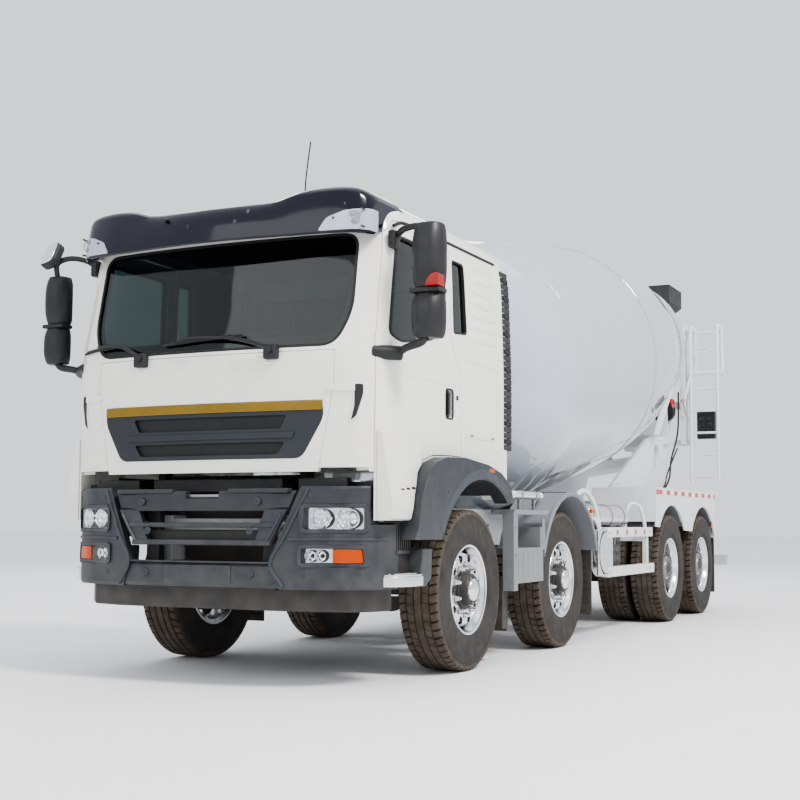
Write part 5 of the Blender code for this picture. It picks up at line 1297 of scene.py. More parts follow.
def roof_fittings():
    """Aerial, roof plates, drip rails, ribbed duct strips and soft louvre ridges."""
    shape = Shape()
    shape.rod((0.40, -0.95, 2.985), (0.40, -0.95, 3.045), 0.018, "black")
    shape.tube([(0.40, -0.95, 3.04), (0.415, -0.955, 3.20), (0.45, -0.965, 3.405)], 0.0045, "black", 8, 6)
    for x in (-0.22, 0.25):
        outline = rounded([(x - 0.11, -1.12), (x + 0.11, -1.12), (x + 0.09, -0.96), (x - 0.09, -0.96)],
                          0.03, 4)
        shape.prism(outline, 2, 2.93, 2.985, "gloss_black", 0.012, 3)
    shape.box((-0.38, -0.62, 3.010), (0.38, 0.05, 3.034), "cab", 0.010, 3)
    shape.box((-0.33, -0.57, 3.030), (0.33, 0.0, 3.040), "black", 0.006, 2)
    for side in (1, -1):
        path = []
        for y in (-1.10, -0.95, -0.6, -0.1, 0.3, 0.52):
            z = 2.815 + (0.012 if y > -0.95 else -0.045 * (y < -1.0))
            path.append((side * (CAB_HALF - level_at(z)[2] + 0.001), y, z))
        shape.tube(path, 0.0105, "rubber", 10, 6)
        foot, head, ribs = 1.50, 2.80, 30
        for row in range(ribs):
            low = foot + row * (head - foot) / ribs
            lean = level_at(low + 0.02)
            x = CAB_HALF - lean[2]
            back = CAB_REAR - lean[1]
            near, far = span(side, x - 0.085, x + 0.004)
            depth = 0.007 if row % 2 else 0.004
            shape.box((near, back - 0.145, low), (far, back + depth, low + 0.041), "black", 0.005)
            if row % 3 == 1:
                near, far = span(side, x - 0.004, x + 0.010)
                shape.box((near, back - 0.12, low + 0.006), (far, back - 0.02, low + 0.034), "rubber", 0.004)
        for row in range(7):
            z = 2.245 + row * 0.083
            x = CAB_HALF - level_at(z)[2]
            bm = bmesh.new()
            bmesh.ops.create_uvsphere(bm, u_segments=32, v_segments=12, radius=1.0)
            for vertex in bm.verts:
                co = vertex.co
                length = 0.235 - 0.012 * row
                square = max(abs(co.y), 1e-6) ** 0.55 * (1 if co.y > 0 else -1)
                vertex.co = Vector((side * x + co.x * 0.0125, 0.275 + square * length, z + co.z * 0.034))
            shape.take(bm, "cab")
        for y in (0.02, 0.39):
            near, far = span(side, 1.138, 1.146)
            shape.box((near, y, 1.560), (far, y + 0.05, 1.572), "steel", 0.003)
    shape.finish("roof_fittings", "cab", "white_paint", (), 36)


# ------------------------------------------------------------------ bumper

def bumper_plan(x):
    """How far the bumper's face stands back from its foremost line, across the truck."""
    knots = [(0.0, 0.0), (0.46, 0.004), (0.70, 0.055), (0.92, 0.125), (1.04, 0.200), (1.11, 0.300),
             (1.14, 0.42)]
    x = abs(x)
    for (x0, d0), (x1, d1) in zip(knots, knots[1:]):
        if x <= x1:
            share = (x - x0) / (x1 - x0)
            return d0 + (d1 - d0) * share
    return 0.42 + (x - 1.14) * 4


def bumper_face(x):
    """Where the bumper's face lies at a place across the truck."""
    return FRONT + bumper_plan(x)


def bumper_form(low, high, thick, limit=1.14, out=0.0):
    """Part of the bumper's wrap-round band between two heights, with rounded long edges."""
    bm = bmesh.new()
    xs = []
    x = 0.0
    while x < min(limit, 1.0) - 1e-6:
        xs.append(x)
        x += 0.05
    xs += [value for value in (1.0, 1.03, 1.06, 1.08, 1.10, 1.12, 1.13, 1.14) if value <= limit + 1e-6]
    xs = [-value for value in reversed(xs[1:])] + xs
    rings = []
    for x in xs:
        y = bumper_face(x) - out
        nx = 0.75 if abs(x) > 1.0 else 0.25 if abs(x) > 0.6 else 0.0
        inner_x = x - (1 if x > 0 else -1) * thick * nx
        inner_y = y + thick * sqrt(1 - nx * nx)
        rings.append([bm.verts.new((x, y + 0.012, low)), bm.verts.new((x, y, low + 0.02)),
                      bm.verts.new((x, y, high - 0.02)), bm.verts.new((x, y + 0.012, high)),
                      bm.verts.new((inner_x, inner_y, high)), bm.verts.new((inner_x, inner_y, low))])
    return lofted(bm, rings, "band")


HEAD = rounded([(0.700, 0.925), (1.05, 0.925), (1.05, 1.075), (0.700, 1.075)], 0.028, 4)
FOG = rounded([(0.690, 0.728), (1.055, 0.728), (1.045, 0.836), (0.690, 0.836)], 0.022, 4)


def flip(outline, side):
    return [(side * x, z) for x, z in outline]


def lamps():
    """Lamp pockets with bowls and reflectors, and the clear and amber covers."""
    for name, side in SIDES:
        shape = Shape(side)
        for outline, depth in ((HEAD, 0.10), (FOG, 0.085)):
            ring = carve(plate(grown(outline, 0.012), 1, -0.012, depth),
                         [plate(grown(outline, -0.012), 1, -0.1, depth - 0.015)])
            shape.mesh_of(ring, "slate", 0.005, 2)
        shape.prism(grown(HEAD, -0.012), 1, 0.055, 0.062, "chrome", 0.001)
        shape.prism(grown(FOG, -0.012), 1, 0.045, 0.052, "chrome", 0.001)
        for x, radius in ((0.80, 0.052), (0.945, 0.056)):
            cup = [(0.050, radius * 0.25), (0.046, radius * 0.6), (0.032, radius * 0.9), (0.014, radius),
                   (0.010, radius + 0.005), (0.012, radius + 0.008), (0.058, radius + 0.008), (0.060, 0.0),
                   (0.052, 0.0)]
            shape.lathe(cup, (x, 0, 1.0), "lamp", axis=(0, 1, 0), steps=40)
            shape.lathe([(0.050, 0.0), (0.020, 0.018), (0.012, 0.014), (0.010, 0.0)], (x, 0, 1.0), "lens",
                        axis=(0, 1, 0), steps=24)
        for x in (0.745, 0.800):
            shape.lathe([(0.046, 0.0), (0.040, 0.022), (0.018, 0.030), (0.014, 0.033), (0.018, 0.036),
                         (0.046, 0.036)],
                        (x, 0, 0.782), "lamp", axis=(0, 1, 0), steps=28)
        shape.box((0.873, 0.006, 0.738), (0.879, 0.05, 0.826), "slate", 0.002)
        lay_on(shape, bumper_face)
        shape.finish(f"lamp_units_{name}", "root", "dark_plastic", (), 36)
        cover = Shape(side)
        cover.prism(grown(HEAD, -0.013), 1, -0.002, 0.002, "lens", 0.001, 1)
        clear = rounded([(0.704, 0.742), (0.873, 0.742), (0.873, 0.822), (0.704, 0.822)], 0.012, 3)
        cover.prism(clear, 1, -0.002, 0.002, "lens", 0.001, 1)
        turn = rounded([(0.879, 0.742), (1.036, 0.742), (1.030, 0.822), (0.879, 0.822)], 0.012, 3)
        cover.prism(turn, 1, -0.006, 0.010, "amber", 0.002, 2)
        for step in range(5):
            x = 0.895 + step * 0.028
            cover.rod((x, 0.009, 0.782), (x, 0.022, 0.782), 0.012, "lamp", 12)
        split_across(cover.bm, [0.69 + step * 0.033 for step in range(12)])
        lay_on(cover, bumper_face)
        cover.finish(f"lamp_covers_{name}", "root", "glass", (), 36)


def bumper():
    """Bumper band, grille carrier, number plate bed, chin and side steps."""
    shape = Shape()
    wing_tools = []
    for side in (1, -1):
        near, far = span(side, 1.06, 1.3)
        wing_tools.append(block((near, FRONT - 0.1, 0.965), (far, -0.9, 1.3)))
    lamp_tools = [plate(flip(grown(o, 0.012), s), 1, FRONT - 0.1, FRONT + 0.45)
                  for o in (HEAD, FOG) for s in (1, -1)]
    middle = [(-0.74, 1.30), (-0.50, 0.745), (0.50, 0.745), (0.74, 1.30)]
    lower = [(-0.50, 0.735), (-0.60, 0.50), (0.60, 0.50), (0.50, 0.735)]
    shell = bumper_form(0.585, 1.190, 0.055)
    cuts = [plate(middle, 1, AHEAD, PANEL_BACK), plate(lower, 1, AHEAD, PANEL_BACK)]
    shell = carve(shell, lamp_tools + wing_tools + cuts)
    shape.mesh_of(shell, "slate", 0.010, 3)
    for side in (1, -1):
        # the lighter slate on this rim tube is a painted highlight
        edge = [(side * x, bumper_face(x) - 0.002, z) for x, z in
                ((0.735, 1.178), (0.60, 0.90), (0.512, 0.735), (0.590, 0.600))]
        shape.tube(edge, 0.011, "slate_highlight", 10, 6)
        ridge = [(side * x, bumper_face(x) - 0.001, z) for x, z in
                 ((0.62, 0.878), (0.80, 0.880), (0.95, 0.880), (1.06, 0.880), (1.12, 0.882))]
        shape.tube(ridge, 0.010, "slate", 10, 6)
        # the lighter slate rings round these screws are a painted highlight
        for x, z in ((0.735, 1.128), (0.86, 0.872), (0.70, 0.668), (0.42, 1.10), (0.37, 0.925),
                     (0.38, 0.672)):
            y = bumper_face(x)
            shape.lathe([(-0.001, 0.0), (-0.001, 0.015), (0.001, 0.021), (0.01, 0.024), (0.01, 0.0)],
                        (side * x, y, z), "slate_highlight", axis=(0, 1, 0), steps=24)
            shape.rod((side * x, y - 0.002, z), (side * x, y, z), 0.010, "black", 6)
    # grille carrier: upper beam with its notch, side struts, two bars
    notch = [(-0.10, 1.30), (-0.10, 1.120), (0.14, 1.120), (0.14, 1.30)]
    beam = carve(bumper_form(1.045, 1.165, 0.05, 0.70, -0.018),
                 [plate([(-0.8, 1.3), (-0.71, 1.3), (-0.585, 1.0), (-0.8, 1.0)], 1, AHEAD, PANEL_BACK),
                  plate([(0.8, 1.3), (0.71, 1.3), (0.585, 1.0), (0.8, 1.0)], 1, AHEAD, PANEL_BACK),
                  plate(notch, 1, AHEAD, PANEL_BACK)])
    shape.mesh_of(beam, "slate", 0.010, 3)
    for side in (1, -1):
        low, high = span(side, 0.20, 0.62)
        shape.box((low, FRONT + 0.018, 1.15), (high, FRONT + 0.085, 1.178), "slate", 0.010, 3)
        strut = [(side * 0.455, 1.055), (side * 0.610, 1.055), (side * 0.485, 0.842), (side * 0.380, 0.842)]
        shape.prism(centred(strut), 1, FRONT + 0.030, FRONT + 0.075, "slate", 0.010, 3)
        # the groove drawn in the lighter slate is a painted highlight
        groove = [(side * 0.575, FRONT + 0.026, 1.025), (side * 0.478, FRONT + 0.026, 0.865)]
        shape.tube(groove, 0.009, "slate_highlight", 8, 4)
    for low, high, half in ((0.945, 0.975, 0.53), (0.838, 0.872, 0.50)):
        shape.box((-half, FRONT + 0.020, low), (half, FRONT + 0.060, high), "slate", 0.010, 3)
    shape.box((-0.10, FRONT + 0.050, 1.125), (0.14, FRONT + 0.075, 1.145), "steel", 0.004)
    # lower middle plate with its blank number plate bed
    tray = carve(bumper_form(0.590, 0.735, 0.05, 0.70, -0.010),
                 [plate([(-0.8, 0.76), (-0.515, 0.76), (-0.585, 0.50), (-0.8, 0.50)], 1, AHEAD, PANEL_BACK),
                  plate([(0.8, 0.76), (0.515, 0.76), (0.585, 0.50), (0.8, 0.50)], 1, AHEAD, PANEL_BACK)])
    shape.mesh_of(tray, "slate", 0.010, 3)
    shape.box((-0.24, FRONT + 0.004, 0.610), (0.24, FRONT + 0.020, 0.722), "slate", 0.005, 3)
    for side in (1, -1):
        low, high = span(side, 0.28, 0.46)
        shape.box((low, FRONT + 0.012, 0.665), (high, FRONT + 0.03, 0.712), "slate", 0.012, 3)
    # chin
    chin = [(-1.08, -1.02), (-1.04, -1.16), (-0.94, -1.27), (-0.70, -1.345), (-0.40, -1.365), (0.40, -1.365),
            (0.70, -1.345), (0.94, -1.27), (1.04, -1.16), (1.08, -1.02), (1.02, -1.02), (0.98, -1.12),
            (0.90, -1.20), (0.68, -1.28), (-0.68, -1.28), (-0.90, -1.20), (-0.98, -1.12), (-1.02, -1.02)]
    shape.prism(chin, 2, 0.452, 0.60, "black", 0.014, 3)
    shape.box((-0.50, FRONT + 0.09, 0.575), (0.50, -1.30, 0.64), "black", 0.006)
    shape.box((-0.41, FRONT + 0.09, 0.84), (0.41, -1.26, 0.93), "black", 0.006)
    # dark structure behind the grille and under the cab's front
    for low, high in ((-1.05, -0.585), (-0.475, 0.475), (0.585, 1.05)):
        shape.box((max(low, -0.92), -1.30, 1.16), (min(high, 0.92), -1.24, 1.243), "black", 0.008)
        shape.box((low, -1.21, 1.10), (high, -1.17, 1.220), "black", 0.008)
    for side in (1, -1):
        low, high = span(side, 0.62, 0.98)
        shape.box((low, -1.33, 1.08), (high, -1.22, 1.18), "black", 0.010)
        x0, x1 = span(side, 0.38, 0.475)
        shape.box((x0, -1.36, 0.70), (x1, -1.30, 1.15), "black", 0.008)
    # side step: box, ribbed well, bright tread
    for side in (1, -1):
        low, high = span(side, 0.98, 1.226)
        toe = [(-0.92, 0.592), (-0.86, 0.592), (-0.775, 0.64), (-0.765, 0.822), (-0.90, 0.822), (-0.92, 0.72)]
        shape.prism(toe, 0, low, high, "slate", 0.010, 3)
        low, high = span(side, 1.0, 1.135)
        shape.box((low, -1.09, 0.66), (high, -0.90, 0.98), "black", 0.006)
        for index in range(7):
            low, high = span(side, 1.128, 1.145)
            y = -1.085 + index * 0.026
            shape.box((low, y, 0.80), (high, y + 0.012, 0.975), "black", 0.003)
        low, high = span(side, 1.125, 1.150)
        shape.box((low, -1.09, 0.79), (high, -0.90, 0.815), "slate", 0.006)
        tread = [(1.00, -1.20), (1.075, -1.205), (1.150, -1.175), (1.205, -1.12), (1.232, -1.05),
                 (1.232, -0.905), (1.00, -0.905)]
        shape.prism(centred([(side * x, y) for x, y in tread]), 2, 0.600, 0.661, "tank", 0.006, 3)
        shape.prism(centred([(side * x, y) for x, y in grown(tread, -0.006)]), 2, 0.661, 0.672, "tank", 0.003)
        for row in range(8):
            for column in range(5):
                x = side * (1.05 + column * 0.036)
                y = -1.145 + row * 0.029
                shape.lathe([(0.0, 0.0), (0.0, 0.009), (0.006, 0.006), (0.007, 0.0)], (x, y, 0.672), "tank",
                            axis=(0, 0, 1), steps=8)
    shape.finish("bumper_unit", "root", "dark_plastic", ("front_bumper",), 34)


sun_visor()
wipers()
mirrors()
roof_fittings()
lamps()
bumper()


# ------------------------------------------------------------------ wheel arches, tanks, side guards

def wheel_band(shape, y, radii, start, end, steps, low, high, material, bevel, segments=2):
    """A band bent round a wheel, between two radii, two angles and two distances from the middle."""
    inner, outer = [arc((y, WHEEL_Z), radius, start, end, steps) for radius in radii]
    shape.prism(inner + list(reversed(outer)), 0, low, high, material, bevel, segments)


def arch_trims():
    """Cab wheel arches with a raised lip in a painted highlight, side marker and screws."""
    for name, side in SIDES:
        shape = Shape(side)
        shape.node(f"wheel_arch_{name}", "slate", 0.012, 3)
        # the lighter slate on the raised lip is a painted highlight
        wheel_band(shape, AXLE_Y[1], (0.740, 0.800), 56, 150, 36, 1.236, 1.2475, "slate_highlight", 0.006)
        shape.box((1.150, -0.735, 0.895), (1.243, -0.650, 1.03), "slate", 0.012, 3)
        shape.box((1.236, 0.10, 1.318), (1.2475, 0.20, 1.345), "amber", 0.005, 2)
        for y, z in ((-0.57, 1.17), (-0.25, 1.31), (0.30, 1.29)):
            shape.rod((1.236, y, z), (1.247, y, z), 0.008, "black", 12)
        shape.finish(f"arch_trim_{name}", "cab", "dark_plastic", (f"wheel_arch_{name}",), 34)


def second_mudguards():
    """Mudguards of the second axle with steps, ribs, pipe and flaps."""
    for name, side in SIDES:
        shape = Shape(side)
        shape.node(f"mudguard_2_{name}", "grey", 0.006, 2)
        for y in (0.66, 0.76, 0.86, 0.96, 1.06):
            shape.box((1.228, y, 0.585), (1.238, y + 0.035, 0.775), "grey", 0.004)
        shape.box((1.228, 1.16, 0.82), (1.2395, 1.21, 1.01), "grey", 0.005)
        wheel_band(shape, AXLE_Y[2], (0.664, 0.694), 22, 158, 44, 1.212, 1.2405, "grey", 0.007, 3)
        for angle in (50, 90, 130):
            wheel_band(shape, AXLE_Y[2], (0.688, 0.694), angle - 1.6, angle + 1.6, 4, 0.88, 1.21,
                       "grey", 0.002)
        shape.rod((1.145, 0.78, 1.185), (1.145, 1.32, 1.185), 0.030, "chrome", 28, 0.004)
        shape.tube([(1.145, 1.32, 1.185), (1.140, 1.37, 1.175), (1.08, 1.42, 1.11), (1.02, 1.43, 1.00)],
                   0.030, "chrome", 20)
        for y in (0.90, 1.20):
            shape.rod((1.145, y, 1.185), (1.145, y + 0.03, 1.185), 0.035, "steel", 24, 0.003)
            shape.box((1.135, y + 0.003, 1.07), (1.155, y + 0.027, 1.16), "steel", 0.003)
        shape.box((1.06, 0.56, 0.235), (1.155, 0.655, 0.60), "rubber", 0.004)
        shape.box((0.875, 0.641, 0.215), (1.155, 0.663, 0.545), "rubber", 0.003)
        shape.box((0.875, 2.481, 0.215), (1.185, 2.502, 0.800), "rubber", 0.003)
        for y, low in ((0.6385, 0.225), (2.4785, 0.225)):
            for row in range(9):
                z = low + 0.03 + row * 0.06
                shape.box((0.90, y - 0.003, z), (1.15, y + 0.001, z + 0.015), "rubber", 0.0015)
        shape.box((1.195, 2.36, 1.065), (1.236, 2.47, 1.095), "amber", 0.006, 2)
        shape.rod((1.18, 2.515, 0.60), (1.18, 2.515, 1.03), 0.009, "steel", 12)
        for z in (0.66, 0.75, 0.84, 0.93):
            shape.rod((1.18, 2.515, z), (1.18, 2.515, z + 0.012), 0.015, "steel", 6)
        for y, z in ((1.20, 0.74), (1.30, 1.055), (0.62, 0.75), (0.62, 0.95)):
            shape.rod((1.234, y, z), (1.2405, y, z), 0.010, "steel", 6)
        shape.finish(f"mudguard_skin_{name}", "root", "grey_plastic", (f"mudguard_2_{name}",), 34)


def hoops():
    """White bent tubes at the ends of the side guards, and a bar to the frame."""
    for name, side in SIDES:
        shape = Shape(side)
        shape.tube([(1.02, 2.51, 0.88), (1.03, 2.48, 1.06), (1.06, 2.46, 1.19), (1.10, 2.53, 1.255),
                    (1.13, 2.66, 1.20), (1.15, 2.76, 1.06), (1.16, 2.79, 0.93)], 0.021, "white", 16)
        shape.tube([(0.66, 2.66, 1.03), (0.80, 2.68, 1.05), (1.02, 2.70, 1.05), (1.13, 2.74, 1.02),
                    (1.165, 2.78, 0.93)], 0.018, "white", 16)
        shape.tube([(1.02, 4.02, 0.90), (1.04, 4.06, 1.12), (1.08, 4.12, 1.175), (1.13, 4.19, 1.13),
                    (1.16, 4.22, 0.99), (1.165, 4.22, 0.93)], 0.018, "white", 14)
        shape.box((0.44, 2.50, 0.86), (1.03, 2.53, 0.92), "white", 0.004)
        shape.finish(f"hoop_{name}", "root", "white_paint", (), 36)


RAIL_SIDE = 0.4303


def tanks():
    """Air tank and battery box on the left, fuel tank on the right."""
    shape = Shape(1)
    profile = [(0.0, 0.0), (0.0, 0.070), (0.012, 0.096), (0.035, 0.110), (1.085, 0.110), (1.108, 0.096),
               (1.120, 0.070), (1.120, 0.0)]
    shape.lathe(profile, (1.03, 2.68, 1.039), "tank", axis=(0, 1, 0), steps=56)
    for y in (2.86, 3.24, 3.62):
        shape.lathe([(0.0, 0.109), (0.0, 0.1125), (0.034, 0.1125), (0.034, 0.109)], (1.03, y, 1.039), "steel",
                    axis=(0, 1, 0), steps=48)
        shape.box((0.935, y, 0.905), (1.125, y + 0.034, 0.94), "black", 0.004)
        shape.box((0.435, y + 0.002, 0.90), (0.95, y + 0.030, 0.93), "black", 0.004)
    shape.rod((1.03, 2.66, 1.039), (1.03, 2.69, 1.039), 0.020, "steel", 6)
    shape.tube([(1.03, 2.665, 1.039), (0.98, 2.62, 1.02), (0.80, 2.60, 0.98), (0.50, 2.60, 0.95)],
               0.009, "black", 8)
    shape.finish("air_tank_skin", "root", "alloy", ("air_tank",), 34)
    box = Shape(1)
    box.node("battery_box", "black", 0.008, 2)
    for row in range(9):
        for column in range(3):
            y = 2.83 + row * 0.072
            z = 0.63 + column * 0.085
            lean = radians(45 if (row + column) % 2 else -45)
            turn = Matrix.Translation((1.1515, y, z)) @ Matrix.Rotation(lean, 4, "X")
            box.box((-0.0015, -0.024, -0.005), (0.0025, 0.024, 0.005), "black", 0.001, 1, move=turn)
    for y in (2.95, 3.27):
        box.rod((1.14, y, 0.85), (1.158, y, 0.85), 0.014, "steel", 12)
        box.box((1.148, y - 0.012, 0.79), (1.156, y + 0.012, 0.86), "steel", 0.003)
    box.finish("battery_box_skin", "root", "black_steel", ("battery_box",), 34)
    tank = Shape(-1)
    low_x, high_x, low_z, high_z = 0.60, 1.17, 0.56, 1.10
    outline = rounded([(low_x, low_z), (high_x, low_z), (high_x, high_z), (low_x, high_z)], 0.10, 10)
    tank.prism(centred(outline), 1, 2.70, 3.90, "tank", 0.010, 3)
    for y in (2.95, 3.60):
        band = carve(plate(grown(outline, 0.004), 1, y, y + 0.045),
                     [plate(grown(outline, -0.004), 1, y - 0.1, y + 0.1)])
        tank.mesh_of(band, "steel", 0.001, 1)
    tank.rod((0.98, 3.75, 1.05), (0.98, 3.75, 1.135), 0.040, "black", 32, 0.006)
    head = rounded([(low_x + 0.03, low_z + 0.03), (high_x - 0.03, low_z + 0.03),
                    (high_x - 0.03, high_z - 0.03), (low_x + 0.03, high_z - 0.03)], 0.08, 8)
    for y in (2.70, 3.90):
        tank.prism(centred(head), 1, y - 0.004, y + 0.004, "tank", 0.002)
    for y in (2.97, 3.62):
        tank.box((0.433, y - 0.02, 0.58), (0.63, y + 0.03, 0.68), "black", 0.006)
    tank.finish("fuel_tank_skin", "root", "alloy", ("fuel_tank",), 34)


def side_guards():
    """Two-rail guards with a rounded bright nose and marker tape."""
    for name, side in SIDES:
        shape = Shape(side)
        outline_out = arc((2.75, 0.73), 0.205, 90, 270, 28)
        outline_in = arc((2.75, 0.73), 0.170, 270, 90, 28)
        nose = ([(2.95, 0.935)] + outline_out + [(2.95, 0.525), (2.95, 0.560)] + outline_in
                + [(2.95, 0.90)])
        shape.prism(centred(nose), 0, 1.150, 1.236, "tank", 0.008, 3)
        shape.box((1.212, 2.55, 0.540), (1.236, 2.95, 0.920), "tank", 0.008, 3)
        shape.box((1.212, 2.80, 0.858), (1.2405, 4.23, 0.946), "white", 0.007, 3)
        shape.box((1.212, 2.80, 0.516), (1.2405, 4.28, 0.604), "white", 0.007, 3)
        for low, high in ((0.858, 0.946), (0.516, 0.604)):
            shape.box((1.165, 2.82, high - 0.012), (1.220, 4.23, high), "white", 0.004)
            shape.box((1.165, 2.82, low), (1.220, 4.23, low + 0.012), "white", 0.004)
        for y in (2.80, 4.10):
            shape.box((1.172, y, 0.532), (1.218, y + 0.055, 0.930), "white", 0.006)
        for y in (2.572, 4.092):
            shape.box((RAIL_SIDE, y, 0.812), (1.19, y + 0.05, 0.868), "white", 0.005)
            shape.box((RAIL_SIDE, y - 0.03, 0.76), (RAIL_SIDE + 0.01, y + 0.08, 0.92), "white", 0.003)
        shape.box((1.150, 2.55, 0.812), (1.20, 2.84, 0.868), "white", 0.005)
        for y in (2.98, 3.27, 3.56, 3.85):
            shape.box((1.2405, y, 0.880), (1.2425, y + 0.17, 0.925), "white", 0.0005, 1)
            shape.box((1.2420, y + 0.055, 0.880), (1.2435, y + 0.115, 0.925), "red", 0.0005, 1)
        for y in (2.83, 4.125):
            for z in (0.56, 0.90):
                shape.rod((1.238, y, z), (1.246, y, z), 0.011, "steel", 6)
        shape.finish(f"side_guard_skin_{name}", "root", "white_paint", (f"side_guard_{name}",), 34)


def rear_fenders():
    """Fenders over the twin wheels with lips, liners, tape and flap."""
    for name, side in SIDES:
        shape = Shape(side)
        shape.node(f"rear_mudguard_{name}", "white", 0.007, 2)
        for number in (3, 4):
            y = AXLE_Y[number]
            wheel_band(shape, y, (0.630, 0.650), 48, 132, 26, 1.215, 1.2425, "white", 0.005)
            wheel_band(shape, y, (0.645, 0.657), 40, 140, 30, 0.60, 1.218, "grey", 0.002)
        shape.box((1.2405, 4.46, 1.268), (1.2425, 6.84, 1.312), "tape", 0.0005, 1)
        for y in (4.385, 6.855):
            shape.box((1.236, y, 1.262), (1.2445, y + 0.055, 1.318), "amber", 0.004, 2)
        shape.box((1.236, 6.70, 0.935), (1.2465, 6.78, 0.985), "amber", 0.005, 2)
        shape.box((0.590, 6.897, 0.205), (1.225, 6.922, 0.825), "rubber", 0.004)
        for row in range(8):
            z = 0.26 + row * 0.065
            shape.box((0.70, 6.894, z), (1.19, 6.925, z + 0.015), "rubber", 0.0015)
        for y in (4.44, 5.05, 5.655, 6.26, 6.86):
            shape.rod((0.90, y, 1.332), (0.90, y, 1.342), 0.012, "steel", 6)
        shape.box((0.60, 4.40, 1.330), (1.22, 4.42, 1.338), "white", 0.003)
        shape.finish(f"fender_{name}", "root", "white_paint", (f"rear_mudguard_{name}",), 34)


arch_trims()
second_mudguards()
hoops()
tanks()
side_guards()
rear_fenders()


# ------------------------------------------------------------------ rear stand, ladder, hopper and chutes

def pedestal():
    """Rear stand with webs, roller covers, posts and hoses."""
    shape = Shape()
    shape.node("rear_pedestal", "white", 0.006, 2)
    for side in (1, -1):
        for (y0, z0), (y1, z1) in (((5.35, 1.40), (6.58, 1.93)), ((6.70, 1.98), (7.80, 1.98)),
                                   ((7.80, 1.90), (7.26, 1.20))):
            shape.rod((side * 0.542, y0, z0), (side * 0.542, y1, z1), 0.013, "white", 8)
        shape.lathe([(0.0, 0.112), (0.0, 0.135), (0.012, 0.135), (0.012, 0.112)], (side * 0.54, 6.95, 1.80),
                    "white", axis=(side, 0, 0), steps=40)
        cover = arc((0, 0), 0.155, 10, 128, 20) + arc((0, 0), 0.05, 128, 10, 12)
        turn = Matrix.Translation((side * 0.650, 7.34, 2.33))
        shape.prism(centred(cover), 0, -0.012, 0.012, "red", 0.005, 2, move=turn)
        rim = arc((0, 0), 0.155, 10, 128, 20) + arc((0, 0), 0.146, 128, 10, 20)
        shape.prism(centred(rim), 0, *span(side, -0.03, 0.012), "red", 0.003, 2, move=turn)
        for angle in (35, 65, 95):
            y = 7.34 + 0.105 * cos(radians(angle))
            z = 2.33 + 0.105 * sin(radians(angle))
            shape.rod((side * 0.658, y, z), (side * 0.664, y, z), 0.014, "black", 16)
        for offset in (0.0, 0.11):
            shape.rod((side * 0.62, 6.62 + offset, 2.00), (side * 0.70, 7.78, 3.30 - offset), 0.024,
                      "white", 14)
        shape.tube([(side * 0.74, 7.42, 2.45), (side * 0.80, 7.36, 2.48), (side * 0.82, 7.40, 2.62),
                    (side * 0.82, 7.52, 2.76), (side * 0.76, 7.58, 2.74)], 0.012, "white", 12)
        low, high = span(side, 0.655, 0.715)
        shape.box((low, 7.70, 1.96), (high, 7.775, 3.42), "white", 0.008)
        shape.tube([(side * 0.60, 6.9, 1.30), (side * 0.66, 7.1, 1.50), (side * 0.64, 7.30, 1.75),
                    (side * 0.66, 7.55, 2.10), (side * 0.63, 7.72, 2.6)], 0.011, "black", 8)
        shape.tube([(side * 0.58, 6.7, 1.25), (side * 0.64, 6.95, 1.42), (side * 0.62, 7.22, 1.60),
                    (side * 0.64, 7.60, 1.90)], 0.009, "black", 8)
    shape.finish("pedestal_skin", "root", "white_paint", ("rear_pedestal",), 34)


def ladder():
    """Ladder with ribbed rungs, platform rail, control box and lever."""
    shape = Shape()
    for x in (0.79, 1.12):
        shape.tube([(x, 7.70, 1.48), (x, 7.70, 3.26), (x, 7.73, 3.37), (x, 7.82, 3.42), (x, 7.91, 3.39),
                    (x, 7.96, 3.30), (x, 7.96, 2.835)], 0.018, "white", 14)
    for row in range(5):
        z = 1.55 + row * 0.27
        shape.rod((0.79, 7.70, z), (1.12, 7.70, z), 0.014, "white", 14)
        for step in range(9):
            x = 0.815 + step * 0.036
            shape.rod((x, 7.70, z), (x + 0.012, 7.70, z), 0.0165, "white", 10)
    shape.tube([(0.79, 7.84, 3.10), (0.95, 7.86, 3.11), (1.12, 7.84, 3.10)], 0.012, "white", 10)
    shape.tube([(0.79, 7.96, 3.15), (1.12, 7.96, 3.15)], 0.012, "white", 10, straight=True)
    shape.tube([(1.12, 7.96, 3.20), (1.135, 7.98, 2.98), (1.12, 7.96, 2.86)], 0.014, "white", 10)
    shape.node("ladder", "white", 0.003, 1)
    for row in range(7):
        shape.box((0.80, 7.715 + row * 0.034, 2.848), (1.11, 7.727 + row * 0.034, 2.855), "white", 0.001, 1)
    shape.box((0.845, 7.76, 2.02), (1.065, 7.86, 2.36), "black", 0.012, 3)
    for z in (2.08, 2.16, 2.24):
        for x in (0.875, 0.965):
            shape.box((x, 7.752, z), (x + 0.07, 7.762, z + 0.055), "gloss_black", 0.003)
    shape.rod((0.74, 7.66, 2.30), (0.72, 7.58, 2.46), 0.007, "steel", 10)
    knob = [(-0.026, 0.0), (-0.018, 0.018), (0.0, 0.026), (0.018, 0.018), (0.026, 0.0)]
    shape.lathe(knob, (0.718, 7.575, 2.475), "red", axis=(0, 0, 1), steps=20)
    shape.finish("ladder_skin", "root", "white_paint", ("ladder",), 34)


